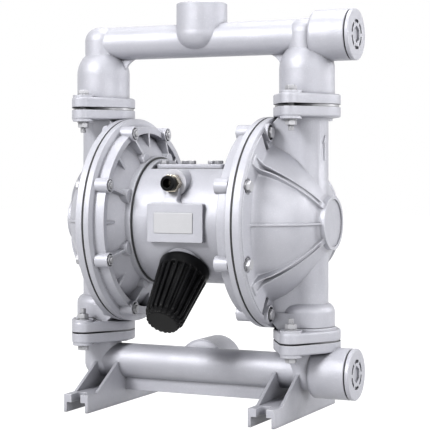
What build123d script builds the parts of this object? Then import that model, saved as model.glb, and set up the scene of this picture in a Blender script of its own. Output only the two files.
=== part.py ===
from build123d import *
import os
from math import cos, sin, hypot, radians, sqrt

os.makedirs("parts", exist_ok=True)

# Air operated double diaphragm pump in millimetres.
# Z is up from the floor, X runs along the diaphragm shaft, and +Y is the rear.
# The origin is on the floor, midway between the four foot slots.

# Overall layout.
bottom_pipe_z = 57.6         # suction pipe's axis above the floor
suction_face_rise = 41.2     # suction pipe's axis up to its casting's joint faces
discharge_pipe_rise = 89.2   # discharge casting's joint faces up to its pipe's axis
port_rise = 49.8             # discharge pipe's axis up to the port's face
tube_out = 45.0              # cap's clamped face out to the flow tube's axis
ring_clear = 13.5            # clamp ring to each ball joint's plane

# General clearances.
thread_gap = 0.1             # between a thread's two bare cylinders
hole_gap = 0.5               # round a bolt in its hole
slide_gap = 0.05             # running fit of a shaft or spool
ball_gap = 0.3               # between a ball and its seat or cage
seal_gap = 0.1               # between a moving seal and its bore

# Clamp ring of the diaphragm caps.
ring_r = 138.5
cap_bolt_inset = 12.0        # bolt circle inside the ring's edge
cap_bolt_count = 8
cap_bolt_r = 4.0
cap_bolt_start = 22.5        # angle of the first cap bolt
diaphragm_t = 3.0

# Fluid cap.
fluid_ring_t = 10.5
dome_inset = 32.0            # dome's foot inside the ring's edge
dome_mid_in = (53.5, 64.5)   # a point of the dome: out from its face, in from the ring
dome_rise = 73.5             # cap's clamped face out to the dome's tip
dome_wall = 6.0
outer_boss_r = 35.0
outer_boss_rise = 9.0
outer_boss_rim = 4.0
outer_boss_recess = 2.0
tube_r = 28.0
tube_bore_r = 20.0
web_half_width = 35.0
bell_r = 36.4
bell_rise = 35.0             # straight part of a cap's ball housing
bell_shoulder = 12.0
rib_over_tip = (2.0, 5.0)    # rib's tip above the dome's tip
rib_inset = 14.0             # ribs' start inside the ring's edge
rib_curve_r = 190.0
rib_half_width = 4.0
rib_flare_half_width = 9.0
rib_edge = 2.0
mid_rib_width = 3.0

# Two-bolt ball joints.
flange_mid_r = 44.0
flange_ear_r = 15.0
flange_bolt_y = 56.0
flange_t = 13.0
flange_pad_t = 3.0
flange_pad_r = 14.0
flange_edge_round = 2.5
discharge_gap = 4.0
suction_gap = 2.4
flange_bolt_r = 4.0

# Balls, cages and seats.
ball_r = 24.0
ball_lift = 9.0
ball_above_seat = 8.0
ball_room_r = 31.0
ball_room_top = (33.0, 40.0)  # above the seat, in a cap and in the discharge casting
cage_fin_t = 5.0
seat_bore_r = 18.0
seat_body_r = 33.0
seat_body_t = 9.5
seat_flange_r = 42.0
seat_ring_r = 37.0
seat_ring_wire = 1.4

# Manifold pipes and ports.
top_pipe_r = 22.8
bottom_pipe_r = 23.2
pipe_bore_r = 17.0
riser_bore_r = 16.0
elbow_r = 25.5
elbow_round = (18.0, 6.0)     # height of the rounded corner and the flat left on top
discharge_bell_rise = (46.0, 73.0)
port_boss_r = 34.4
port_cup = (13.0, 1.0)        # depth of the port bosses' rounded backs, top and bottom
port_thread_r = 22.4         # 1 1/2 inch pipe thread, bare minor diameter
port_thread_depth = 26.0
suction_port_y = 56.0
end_boss_r = 33.4
end_boss_out = (11.0, 61.5)  # its ends, out from the tube's axis
plug_ring_inset = 2.5
plug_flange_t = 5.0
plug_gap = 2.0
plug_stem = 18.0
plug_hex = 20.0
plug_recess = 3.0
gusset_reach = 17.0
gusset_t = 5.0

# Feet.
foot_in = 19.0               # tube's axis in to the foot's middle
foot_width = 36.0
foot_y = 108.0
foot_wall = 4.0
foot_pad_z = (13.2, 23.5)
foot_slot_width = 14.0
foot_slot_end_y = 84.0
foot_gusset_y = (25.0, 82.0)
web_bottom_z = 17.5
web_t = 8.0

# Air cap.
hub_gasket_t = 1.0
body_half = 62.0
body_r = 83.5
hub_over = 4.5               # hub's radius over the body's
hub_t = 8.0
air_cap_depth = 41.0
air_rim_t = 10.0
air_rim_edge = 4.0
wall_ring_inset = (20.0, 11.5)
wall_ring_deep = 23.5        # air cap's clamped face back to the wall ring's edge
air_boss_r = 10.0
air_boss_deep = 28.0         # air cap's clamped face back to the bosses' ends
hub_lug_r = 9.5
air_rib_t = 3.4
bowl_wall = 6.0
cap_screw_inset = 13.5       # screw circle inside the body's surface
cap_screw_count = 6
cap_screw_r = 3.0
cap_screw_depth = 16.0       # into the centre body

# Fasteners: across flats and heights.
m8_hex = 13.0
m8_head = 5.3
m8_nut = 6.5
m8_washer_r = 8.0
m8_washer_t = 1.6
nut_proud = 1.5              # of a nut above its boss
bolt_tail = 2.0              # of a bolt past its nut
flange_bolt_tail = 7.0

# Diaphragm assembly.
shaft_r = 12.5
inner_plate_t = 12.0
chamber_clear = 3.0          # behind the inner plate at the end of its stroke
stroke = 15.0                # each way from the middle
plate_inset = (68.5, 65.5)   # inner and outer plates' edges inside the ring's edge
inner_hub_r = 22.5
pilot_pad_rise = 3.0         # flat ring that meets the pilot rod
pilot_pad_half = 6.0
plate_rim_t = 3.0
outer_plate_t = 11.0
plate_bolt_r = 6.0
plate_bolt_hex = 19.0
plate_bolt_head = 7.5
plate_bolt_depth = 24.0      # into the shaft
diaphragm_roll_r = 13.0
diaphragm_edge = 1.0         # its edge inside the ring's edge
bush_r = 20.0
seal_step = 2.0              # how much smaller the shaft seals are than the bushes
bush_length = 22.0
shaft_seal_width = 5.0

# Pilot rod and main air valve.
pilot_drop = 40.0            # straight below the shaft
pilot_r = 4.0
pilot_bush_r = 8.0
pilot_travel = 4.0
valve_z = 45.0               # above the shaft axis
valve_sleeve_r = 22.0
valve_bore_r = 15.0
valve_cap_t = 6.0
spool_land = 14.0
spool_groove = 3.0
spool_groove_deep = 2.5
valve_port_x = 24.0
valve_port_r = 3.0
spool_neck_r = 8.0
spool_end_gap = 0.5
spool_travel = 10.0

# Centre body features.
cover_flat_deep = 13.5       # depth of the flat cut into the body's top
cover_t = 5.5
cover_gasket_t = 1.0
cover_half = (50.0, 39.0)
cover_screw_x = 40.0
cover_screw_y = 31.0
cover_screw_r = 3.0
cover_screw_hex = 10.0
cover_screw_head = 4.5
cover_screw_length = 20.0
cover_corner_r = 6.0
chest_half = (28.0, 16.0)   # window from the valve up to the cover
pad_half = (40.0, 25.0)
pad_x = 2.7
pad_rise = 4.5               # of the pad's face over the body's front
plate_half = (27.8, 13.3)
plate_t = 0.8
inlet_x = -3.5
inlet_z = 51.5
inlet_boss_r = 18.0
inlet_boss_out = 12.3        # of its face over the body's surface there
inlet_hex = 22.0
inlet_hex_t = 9.0
inlet_collar_r = 10.0
inlet_collar_t = 11.0
inlet_tube_r = 6.1           # takes a 12 mm tube
inlet_thread_r = 9.5

# Muffler, on an axis that slopes down to the front.
muffler_x = 4.0
muffler_slope = 45.0
muffler_clear = 0.5          # body's surface to the muffler's collar, along its axis
muffler_length = 93.0
muffler_base_r = 34.5
muffler_tip_r = 25.0
muffler_collar = 16.0
muffler_rib_count = 20
muffler_rib_h = 3.0
muffler_rib_t = 3.6
muffler_stem_r = 16.0
muffler_wall = 4.0
muffler_stem = 22.0
duct_r = 12.0                # exhaust way from the valve to the muffler
duct_x = (13.0, 27.0)
duct_y = (-36.0, -18.0)


def ring_places(count, radius, start=0.0):
    """Points at equal angles round the X axis, in the YZ plane."""
    angles = [radians(start + 360 / count * i) for i in range(count)]
    return [(radius * cos(a), radius * sin(a)) for a in angles]


def bar_x(radius, x0, x1, y=0.0, z=0.0):
    """A round bar along X from x0 to x1."""
    return extrude(Plane(origin=(x0, y, z), x_dir=(0, 1, 0), z_dir=(1, 0, 0))
                   * Circle(radius), x1 - x0)


def bar_z(radius, z0, z1, x=0.0, y=0.0):
    """A round bar along Z from z0 to z1."""
    return extrude(Plane((x, y, z0)) * Circle(radius), z1 - z0)


def bar_y(radius, y0, y1, x=0.0, z=0.0):
    """A round bar along Y from y0 to y1."""
    return extrude(Plane(origin=(x, y0, z), x_dir=(-1, 0, 0), z_dir=(0, 1, 0))
                   * Circle(radius), y1 - y0)


def block(x0, x1, y0, y1, z0, z1):
    """A rectangular block between two corners."""
    centre = ((x0 + x1) / 2, (y0 + y1) / 2, (z0 + z1) / 2)
    return Pos(*centre) * Box(x1 - x0, y1 - y0, z1 - z0)


def spun_x(*edges):
    """A solid turned about X from a closed outline of X and radius."""
    return revolve(make_face(Curve() + list(edges)), Axis.X)


def spun_z(*edges):
    """A solid turned about Z from a closed outline of radius and height."""
    return revolve(Plane.XZ * make_face(Curve() + list(edges)), Axis.Z)


def arc_through(start, middle, end):
    """Centre and radius of the circle through three points."""
    (ax, ay), (bx, by), (cx, cy) = start, middle, end
    d = 2 * (ax * (by - cy) + bx * (cy - ay) + cx * (ay - by))
    a2, b2, c2 = ax * ax + ay * ay, bx * bx + by * by, cx * cx + cy * cy
    x = (a2 * (by - cy) + b2 * (cy - ay) + c2 * (ay - by)) / d
    y = (a2 * (cx - bx) + b2 * (ax - cx) + c2 * (bx - ax)) / d
    return (x, y), hypot(ax - x, ay - y)


def hex_bar(flats, height):
    """A hexagonal prism that stands on the XY plane."""
    return extrude(RegularPolygon(flats / 2, 6, major_radius=False), height)


def hex_bolt(shank_r, shank, flats, head):
    """A hex bolt: its head sits on the XY plane and its shank points down."""
    edge = flats / 2 / cos(radians(30))
    body = hex_bar(flats, head) & Pos(0, 0, head / 2) * Cylinder(edge * 0.985, head)
    return body + Pos(0, 0, -shank / 2) * Cylinder(shank_r, shank)


def hex_nut(flats, height, hole_r):
    """A hex nut that stands on the XY plane."""
    return hex_bar(flats, height) - Pos(0, 0, height / 2) * Cylinder(hole_r, height)


def washer(outer_r, hole_r, thickness):
    """A flat washer that stands on the XY plane."""
    return Pos(0, 0, thickness / 2) * (Cylinder(outer_r, thickness) - Cylinder(hole_r, thickness))


# Places worked out from the sizes above. Heights here are above the shaft axis.
hub_face_x = body_half + hub_gasket_t
air_face_x = hub_face_x + air_cap_depth
cap_face_x = air_face_x + diaphragm_t
ring_out_x = cap_face_x + fluid_ring_t
rim_back_x = air_face_x - air_rim_t
tube_x = cap_face_x + tube_out
foot_x = tube_x - foot_in
end_boss_x = [tube_x + out for out in end_boss_out]
wall_ring_x = air_face_x - wall_ring_deep
air_boss_x = air_face_x - air_boss_deep
dome_base_r = ring_r - dome_inset
dome_mid = (cap_face_x + dome_mid_in[0], ring_r - dome_mid_in[1])
dome_tip_x = cap_face_x + dome_rise
outer_boss_x = dome_tip_x + outer_boss_rise
rib_tip = (dome_tip_x + rib_over_tip[0], outer_boss_r + rib_over_tip[1])
rib_ring_r = ring_r - rib_inset
wall_ring_r = [ring_r - inset for inset in wall_ring_inset]
hub_r = body_r + hub_over
inner_plate_r, outer_plate_r = ring_r - plate_inset[0], ring_r - plate_inset[1]
shaft_half = air_face_x - inner_plate_t
pilot_pad_x = shaft_half + pilot_pad_rise
pilot_yz = (0.0, -pilot_drop)
chamber_floor_x = shaft_half - stroke - chamber_clear

joint_rise = ring_r + ring_clear
chamber_z = bottom_pipe_z + suction_face_rise + suction_gap / 2 + joint_rise
top_pipe_z = chamber_z + joint_rise + discharge_gap / 2 + discharge_pipe_rise
overall_height = top_pipe_z + port_rise
valve_sleeve_half = body_half - valve_cap_t
spool_half = valve_sleeve_half - spool_travel / 2 - spool_end_gap
spool_x = -spool_travel / 2  # at rest the spool lies at the left end of its travel
spool_land_x = [spool_x + i * (spool_half - spool_land / 2) for i in (-1, 0, 1)]
cap_bottom = -joint_rise + suction_gap / 2
cap_top = joint_rise - discharge_gap / 2
pilot_half = pilot_pad_x - stroke + pilot_travel - ball_gap
nut_seat_x = air_boss_x + m8_nut - nut_proud
cap_bolts = ring_places(cap_bolt_count, ring_r - cap_bolt_inset, cap_bolt_start)
cap_screws = ring_places(cap_screw_count, body_r - cap_screw_inset)

cover_seat_z = body_r - cover_flat_deep
pad_front = body_r + pad_rise
inlet_front = sqrt(body_r ** 2 - inlet_z ** 2) + inlet_boss_out
muffler_start = body_r + muffler_clear
muffler_stem_end = muffler_start - muffler_stem


def flange_plate(hole_r=flange_bolt_r + hole_gap):
    """A two-bolt flange with its joint face on the XY plane and its pads on top."""
    rounds = Circle(flange_mid_r).edges()
    for side in (-1, 1):
        rounds += (Pos(0, side * flange_bolt_y) * Circle(flange_ear_r)).edges()
    plate = extrude(make_hull(rounds), flange_t)
    plate = fillet(plate.edges().group_by(Axis.Z)[-1], flange_edge_round)
    for side in (-1, 1):
        y = side * flange_bolt_y
        plate += bar_z(flange_pad_r, flange_t / 2, flange_t + flange_pad_t, y=y)
        plate -= bar_z(hole_r, -1, flange_t + flange_pad_t + 1, y=y)
    return plate


def ball_cage(base_z):
    """Four guide fins in a ball room; base_z is the top face of the seat."""
    low = base_z + ball_above_seat
    top = low + ball_lift + ball_r + 4
    fins = None
    for angle in (45, 135):
        fin = block(-ball_room_r - 1, ball_room_r + 1, -cage_fin_t / 2, cage_fin_t / 2,
                    base_z + 1, top)
        fins = Rot(0, 0, angle) * fin if fins is None else fins + Rot(0, 0, angle) * fin
    free_r = ball_r + ball_gap
    travel = Pos(0, 0, low) * Sphere(free_r) + Pos(0, 0, low + ball_lift) * Sphere(free_r)
    travel += bar_z(free_r, low, low + ball_lift)
    fins -= travel
    fins -= bar_z(seat_bore_r * 0.6, base_z, top + 1)
    fins -= bar_z(free_r, base_z, low)
    return fins


def shifted(point, centre, distance):
    """A point moved away from a centre; a negative distance moves it nearer."""
    dx, dy = point[0] - centre[0], point[1] - centre[1]
    scale = distance / hypot(dx, dy)
    return point[0] + dx * scale, point[1] + dy * scale


def bulge_point(start, end, radius):
    """The middle of the arc that bows to the left of the line from start to end."""
    dx, dy = end[0] - start[0], end[1] - start[1]
    chord = hypot(dx, dy)
    sagitta = radius - sqrt(radius * radius - chord * chord / 4)
    return ((start[0] + end[0]) / 2 - dy / chord * sagitta,
            (start[1] + end[1]) / 2 + dx / chord * sagitta)


def band(angle, r0, r1, r2, half0, half2):
    """A radial band in a flat pattern: parallel from r0 to r1, then widening to r2."""
    side = [(r0, half0), (r1, half0), (r2, half2)]
    corners = side + [(r, -h) for r, h in reversed(side)]
    return Rot(0, 0, angle) * make_face(Polyline(*corners, close=True))


def dome_outline(offset):
    """Three points of the dome's arc, moved outwards by offset."""
    points = (ring_out_x, dome_base_r), dome_mid, (dome_tip_x, outer_boss_r)
    centre, _ = arc_through(*points)
    return [shifted(p, centre, offset) for p in points]


def dome_ribs():
    """Grooved ribs at the diagonals and one thin rib at each side of the dome."""
    ribs_plane = Plane(origin=(cap_face_x, 0, 0), x_dir=(0, 1, 0), z_dir=(1, 0, 0))
    depth = outer_boss_x - cap_face_x
    crest = (ring_out_x - 1, rib_ring_r)
    inner_r = outer_boss_r - 2
    root = (ring_out_x - 1, dome_base_r - dome_wall)
    shell = spun_x(
        ThreePointArc(crest, bulge_point(crest, rib_tip, rib_curve_r), rib_tip),
        Polyline(rib_tip, (rib_tip[0], inner_r), (rib_tip[0] - 3, inner_r), root, crest))
    wide_r = rib_ring_r - 20
    outer, groove = Sketch(), Sketch()
    for angle in (45, 135, 225, 315):
        outer += band(angle, inner_r - 1, wide_r, ring_r, rib_half_width, rib_flare_half_width)
        groove += band(angle, outer_boss_r + 2, wide_r, ring_r - 1,
                       rib_half_width - rib_edge, rib_flare_half_width - rib_edge)
    ribs = shell & extrude(ribs_plane * (outer - groove), depth)
    low = dome_outline(2.2)
    low_shell = spun_x(
        ThreePointArc(*low),
        Polyline(low[2], (low[2][0], inner_r), (low[2][0] - 4, inner_r), root, low[0]))
    sides = Sketch()
    for angle in (0, 180):
        sides += band(angle, inner_r - 1, wide_r, dome_base_r + 4, mid_rib_width / 2,
                      mid_rib_width / 2)
    return ribs, low_shell & extrude(ribs_plane * sides, depth)


def fluid_cap():
    """The outer cover of one pumping chamber, drawn for the +X side."""
    base, mid, tip = dome_outline(0)
    body = spun_x(
        Polyline((cap_face_x, 0), (cap_face_x, ring_r), (ring_out_x - 2, ring_r),
                 (ring_out_x, ring_r - 2), base),
        ThreePointArc(base, mid, tip),
        Polyline(tip, (outer_boss_x, outer_boss_r), (outer_boss_x, 0), (cap_face_x, 0)))
    for rib in dome_ribs():
        body += rib

    # The webs that join the tube and the ball housing to the ring.
    reach = tube_x - ring_out_x
    keep = spun_x(Polyline((ring_out_x - 2, 0), (ring_out_x - 2, ring_r - 5),
                           (ring_out_x, ring_r - 5), (tube_x, ring_r - 5 + reach),
                           (tube_x, 0), (ring_out_x - 2, 0)))
    bell_top = cap_bottom + bell_rise
    for half, low, high in ((tube_r, bell_top, cap_top), (bell_r, cap_bottom, bell_top)):
        outline = Polyline((ring_out_x - 2, -web_half_width), (tube_x, -half),
                           (tube_x, half), (ring_out_x - 2, web_half_width), close=True)
        web = extrude(Plane((0, 0, low)) * make_face(outline), high - low)
        body += web & keep

    body += bar_z(tube_r, cap_bottom, cap_top, x=tube_x)
    shoulder_top = bell_top + bell_shoulder
    shoulder = TangentArc((bell_r, bell_top), (tube_r - 1, shoulder_top), tangent=(0, 1))
    bell = spun_z(Polyline((0, cap_bottom), (bell_r, cap_bottom), (bell_r, bell_top)), shoulder,
                  Polyline((tube_r - 1, shoulder_top), (0, shoulder_top), (0, cap_bottom)))
    body += Pos(tube_x, 0, 0) * bell
    body += Pos(tube_x, 0, cap_bottom) * flange_plate()
    body += Pos(tube_x, 0, cap_top) * Rot(180, 0, 0) * flange_plate()

    # The chamber, the flow passage, the ball room and the seat's pocket.
    a, b, c = dome_outline(-dome_wall)
    body -= spun_x(Polyline((cap_face_x - 1, 0), (cap_face_x - 1, a[1]), a),
                   ThreePointArc(a, b, c), Polyline(c, (c[0], 0), (cap_face_x - 1, 0)))
    room_top = cap_bottom + ball_room_top[0]
    room = spun_z(Polyline((0, cap_bottom - 1), (ball_room_r, cap_bottom - 1),
                           (ball_room_r, room_top), (tube_bore_r, room_top + 11),
                           (tube_bore_r, cap_top - 4), (0, cap_top - 4), (0, cap_bottom - 1)))
    body -= Pos(tube_x, 0, 0) * room
    body -= bar_z(tube_bore_r, cap_top - 20, cap_top + 1, x=tube_x)
    body -= bar_z(seat_body_r + thread_gap, cap_top - seat_body_t - thread_gap, cap_top + 1,
                  x=tube_x)
    body += Pos(tube_x, 0, 0) * (ball_cage(cap_bottom) & bell)

    body -= bar_x(outer_boss_r - outer_boss_rim, outer_boss_x - outer_boss_recess,
                  outer_boss_x + 1)
    for y, z in cap_bolts:
        body -= bar_x(cap_bolt_r + hole_gap, cap_face_x - 1, ring_out_x + 1, y, z)
    return body


def air_cap():
    """The inner cover of one chamber, drawn for the +X side."""
    bowl_start = (hub_face_x + hub_t, hub_r)
    bowl_end = (rim_back_x, wall_ring_r[0])
    body = spun_x(Polyline((hub_face_x, 0), (hub_face_x, hub_r), bowl_start, bowl_end,
                           (rim_back_x, ring_r - 6), (air_face_x - air_rim_edge - 3, ring_r),
                           (air_face_x, ring_r), (air_face_x, 0), (hub_face_x, 0)))
    body += spun_x(Polyline((wall_ring_x, wall_ring_r[0]), (wall_ring_x, wall_ring_r[1]),
                            (rim_back_x + 1, wall_ring_r[1] + 1.5),
                            (rim_back_x + 1, wall_ring_r[0]), (wall_ring_x, wall_ring_r[0])))

    # Bolt bosses, the ribs behind them, and the short ribs between them.
    for i, (y, z) in enumerate(cap_bolts):
        body += bar_x(air_boss_r, air_boss_x, rim_back_x + 1, y, z)
        turn = cap_bolt_start + 360 / cap_bolt_count * i
        lug = bar_x(hub_lug_r, hub_face_x + 3, bowl_start[0] + 10, hub_r, 0)
        long_rib = make_face(Polyline(
            (air_boss_x + 2, wall_ring_r[0] + 1), (rim_back_x, wall_ring_r[0] + 1),
            (bowl_start[0] + 3, hub_r - 2), (hub_face_x + 3, hub_r - 2),
            (hub_face_x + 4, hub_r + 4), close=True))
        short_rib = make_face(Polyline(
            (wall_ring_x, wall_ring_r[0] + 1), (rim_back_x, wall_ring_r[0] + 1),
            (bowl_start[0] + 8, hub_r + 9), close=True))
        body += Rot(turn, 0, 0) * lug
        body += Rot(turn, 0, 0) * extrude(long_rib, air_rib_t / 2, both=True)
        body += Rot(turn + 180 / cap_bolt_count, 0, 0) * extrude(short_rib, air_rib_t / 2,
                                                                both=True)

    # The chamber, which clears the inner plate at the end of its stroke.
    slope_x, slope_r = bowl_end[0] - bowl_start[0], bowl_end[1] - bowl_start[1]
    length = hypot(slope_x, slope_r)
    inner_x = bowl_start[0] + bowl_wall * slope_r / length
    inner_r = bowl_start[1] - bowl_wall * slope_x / length
    floor_x = chamber_floor_x
    mouth_r = dome_base_r - dome_wall / 2

    def on_slope(r):
        return inner_x + (r - inner_r) * slope_x / slope_r, r

    floor_r = inner_r + (floor_x - inner_x) * slope_r / slope_x
    body -= spun_x(Polyline((floor_x, 0), (floor_x, floor_r), on_slope(mouth_r),
                            (air_face_x + 1, mouth_r), (air_face_x + 1, 0), (floor_x, 0)))

    body -= bar_x(shaft_r + 2, hub_face_x - 1, floor_x + 1)
    body -= bar_x(pilot_r + 1, hub_face_x - 1, floor_x + 1, *pilot_yz)
    for y, z in cap_screws:
        body -= bar_x(cap_screw_r + hole_gap, hub_face_x - 1, floor_x + 1, y, z)
        body -= bar_x(cap_screw_r * 2, floor_x - cap_screw_r * 2, floor_x + 1, y, z)
    for y, z in cap_bolts:
        body -= bar_x(cap_bolt_r + hole_gap, air_boss_x - 1, air_face_x + 1, y, z)
        body -= bar_x(m8_washer_r + seal_gap, air_boss_x - 1, nut_seat_x, y, z)
    return body


def placed(shape, side):
    """Lift a shape drawn for the +X side to the shaft axis, on side 1 or -1."""
    return Pos(0, 0, chamber_z) * (shape if side > 0 else Rot(0, 0, 180) * shape)


# The muffler's axis leaves the shaft axis and slopes down to the front.
slope = radians(muffler_slope)
muffler_plane = Plane(origin=(muffler_x, 0, 0), x_dir=(1, 0, 0),
                      z_dir=(0, -cos(slope), -sin(slope)))


def along_muffler(shape, distance=0.0):
    """Place a shape drawn on the XY plane on the muffler's axis."""
    return muffler_plane * Pos(0, 0, distance) * shape


def rod(radius, start, end):
    """A round bar from one height to another, drawn on the Z axis."""
    return Pos(0, 0, (start + end) / 2) * Cylinder(radius, end - start)


def centre_body():
    """The centre section: air motor housing, inlet boss, plate pad and exhaust."""
    end_t = 8.0
    body = bar_x(body_r, -body_half, body_half)
    body -= block(end_t - body_half, body_half - end_t, -body_r, body_r, cover_seat_z, body_r + 1)

    # The plate pad, the air inlet's boss with the neck below it, and the exhaust boss.
    pad = block(pad_x - pad_half[0], pad_x + pad_half[0], -pad_front, -body_r * 0.8,
                -pad_half[1], pad_half[1])
    body += fillet(pad.edges().filter_by(Axis.Y), 1.5)
    body += bar_y(inlet_boss_r, -inlet_front, -body_r / 2, inlet_x, inlet_z)
    body += block(inlet_x - inlet_boss_r / 2, inlet_x + inlet_boss_r / 2, -inlet_front,
                  -body_r * 0.7, pad_half[1] - 2, inlet_z)
    body += along_muffler(rod(muffler_base_r - 4, body_r * 0.8, muffler_start))

    # Bores along the shaft axis.
    body -= bar_x(shaft_r + 2, -body_half - 1, body_half + 1)
    body -= bar_x(pilot_r + 1, -body_half - 1, body_half + 1, *pilot_yz)
    body -= bar_x(valve_sleeve_r + thread_gap, -body_half - 1, body_half + 1, 0, valve_z)
    for side in (-1, 1):
        face, deep = side * (body_half + 1), side * (body_half - bush_length)
        seal = side * (body_half - bush_length - shaft_seal_width)
        body -= bar_x(bush_r, min(face, deep), max(face, deep))
        body -= bar_x(bush_r - seal_step, min(face, seal), max(face, seal))
        body -= bar_x(pilot_bush_r, min(face, deep), max(face, deep), *pilot_yz)
        for y, z in cap_screws:
            tapped = side * (body_half - cap_screw_depth - 3)
            body -= bar_x(cap_screw_r + thread_gap, min(face, tapped), max(face, tapped), y, z)

    # Air ways: inlet, valve chest under the cover, exhaust duct and muffler thread.
    body -= bar_y(inlet_thread_r + thread_gap, -inlet_front - 1, -valve_sleeve_r, inlet_x,
                  inlet_z)
    body -= block(-chest_half[0], chest_half[0], -chest_half[1], chest_half[1], valve_z,
                  cover_seat_z + 1)
    body -= along_muffler(rod(muffler_stem_r + thread_gap, muffler_stem_end - 2,
                              muffler_start + 1))
    body -= along_muffler(rod(duct_r, muffler_stem_end - 2 * duct_r, muffler_stem_end))
    body -= block(*duct_x, *duct_y, duct_y[0], valve_z - duct_x[1] / 4)
    for y in (-cover_screw_y, cover_screw_y):
        for x in (-cover_screw_x, 0, cover_screw_x):
            body -= bar_z(cover_screw_r + thread_gap, cover_seat_z - cover_screw_length + 5,
                          cover_seat_z + 1, x, y)
    return body


def valve_cover():
    """The flat cover on top of the valve chest."""
    x, y = cover_half
    low = cover_seat_z + cover_gasket_t
    plate = block(-x, x, -y, y, low, low + cover_t)
    plate = fillet(plate.edges().filter_by(Axis.Z), cover_corner_r)
    plate = chamfer(plate.edges().group_by(Axis.Z)[-1], 1)
    return plate - cover_holes(low - 1, low + cover_t + 1)


def cover_gasket():
    """The gasket under the valve cover."""
    x, y = cover_half
    sheet = block(-x, x, -y, y, cover_seat_z, cover_seat_z + cover_gasket_t)
    sheet = fillet(sheet.edges().filter_by(Axis.Z), cover_corner_r)
    sheet -= block(-chest_half[0], chest_half[0], -chest_half[1], chest_half[1],
                   cover_seat_z - 1, cover_seat_z + 2)
    return sheet - cover_holes(cover_seat_z - 1, cover_seat_z + 2)


def cover_holes(low, high):
    """Clearance holes for the cover screws."""
    holes = Part()
    for y in (-cover_screw_y, cover_screw_y):
        for x in (-cover_screw_x, 0, cover_screw_x):
            holes += bar_z(cover_screw_r + hole_gap, low, high, x, y)
    return holes


def cover_screws():
    """The hex screws that hold the valve cover."""
    top = cover_seat_z + cover_gasket_t + cover_t
    screws = []
    for y in (-cover_screw_y, cover_screw_y):
        for x in (-cover_screw_x, 0, cover_screw_x):
            screws.append(Pos(x, y, top) * hex_bolt(cover_screw_r, cover_screw_length,
                                                    cover_screw_hex, cover_screw_head))
    return screws


def hub_gasket():
    """The gasket between the centre body and an air cap, for the +X side."""
    sheet = bar_x(hub_r - 2, body_half, hub_face_x)
    sheet -= bar_x(shaft_r + 4, body_half - 1, hub_face_x + 1)
    sheet -= bar_x(pilot_r + 2, body_half - 1, hub_face_x + 1, *pilot_yz)
    for y, z in cap_screws:
        sheet -= bar_x(cap_screw_r + hole_gap, body_half - 1, hub_face_x + 1, y, z)
    return sheet


def centre_pipe_boss(length_up, centre_drop):
    """A round port boss on the Z axis that starts in a pipe along X, cup-shaped below."""
    cup_r, cup_low = port_boss_r * 0.52, centre_drop
    chamfer_t = 1.5
    shape = spun_z(
        Polyline((0, -cup_low), (cup_r, -cup_low)),
        ThreePointArc((cup_r, -cup_low), (port_boss_r * 0.87, -cup_low * 0.42),
                      (port_boss_r, cup_low * 0.9)),
        Polyline((port_boss_r, cup_low * 0.9), (port_boss_r, length_up - chamfer_t),
                 (port_boss_r - chamfer_t, length_up), (0, length_up), (0, -cup_low)))
    return shape


def port_hole(length_up):
    """The threaded port and the way down to the pipe."""
    return rod(port_thread_r, length_up - port_thread_depth, length_up + 1) \
        + rod(riser_bore_r, 0, length_up)


def end_boss(pipe_r):
    """The round boss at a manifold's right end, with its threaded hole, along X."""
    x0, x1 = end_boss_x
    boss = bar_x(end_boss_r, x0, x1)
    boss = fillet(boss.edges().group_by(Axis.X)[0], (end_boss_r - pipe_r) * 0.5)
    return chamfer(boss.edges().group_by(Axis.X)[-1], 1)


def neck(height, round_r, flat_r):
    """An upright neck with a rounded top, drawn from height 0."""
    low = height - round_r
    return spun_z(Polyline((0, 0), (elbow_r, 0), (elbow_r, low)),
                  ThreePointArc((elbow_r, low),
                                (flat_r + (elbow_r - flat_r) * 0.72, low + round_r * 0.69),
                                (flat_r, height)),
                  Polyline((flat_r, height), (0, height), (0, 0)))


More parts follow.
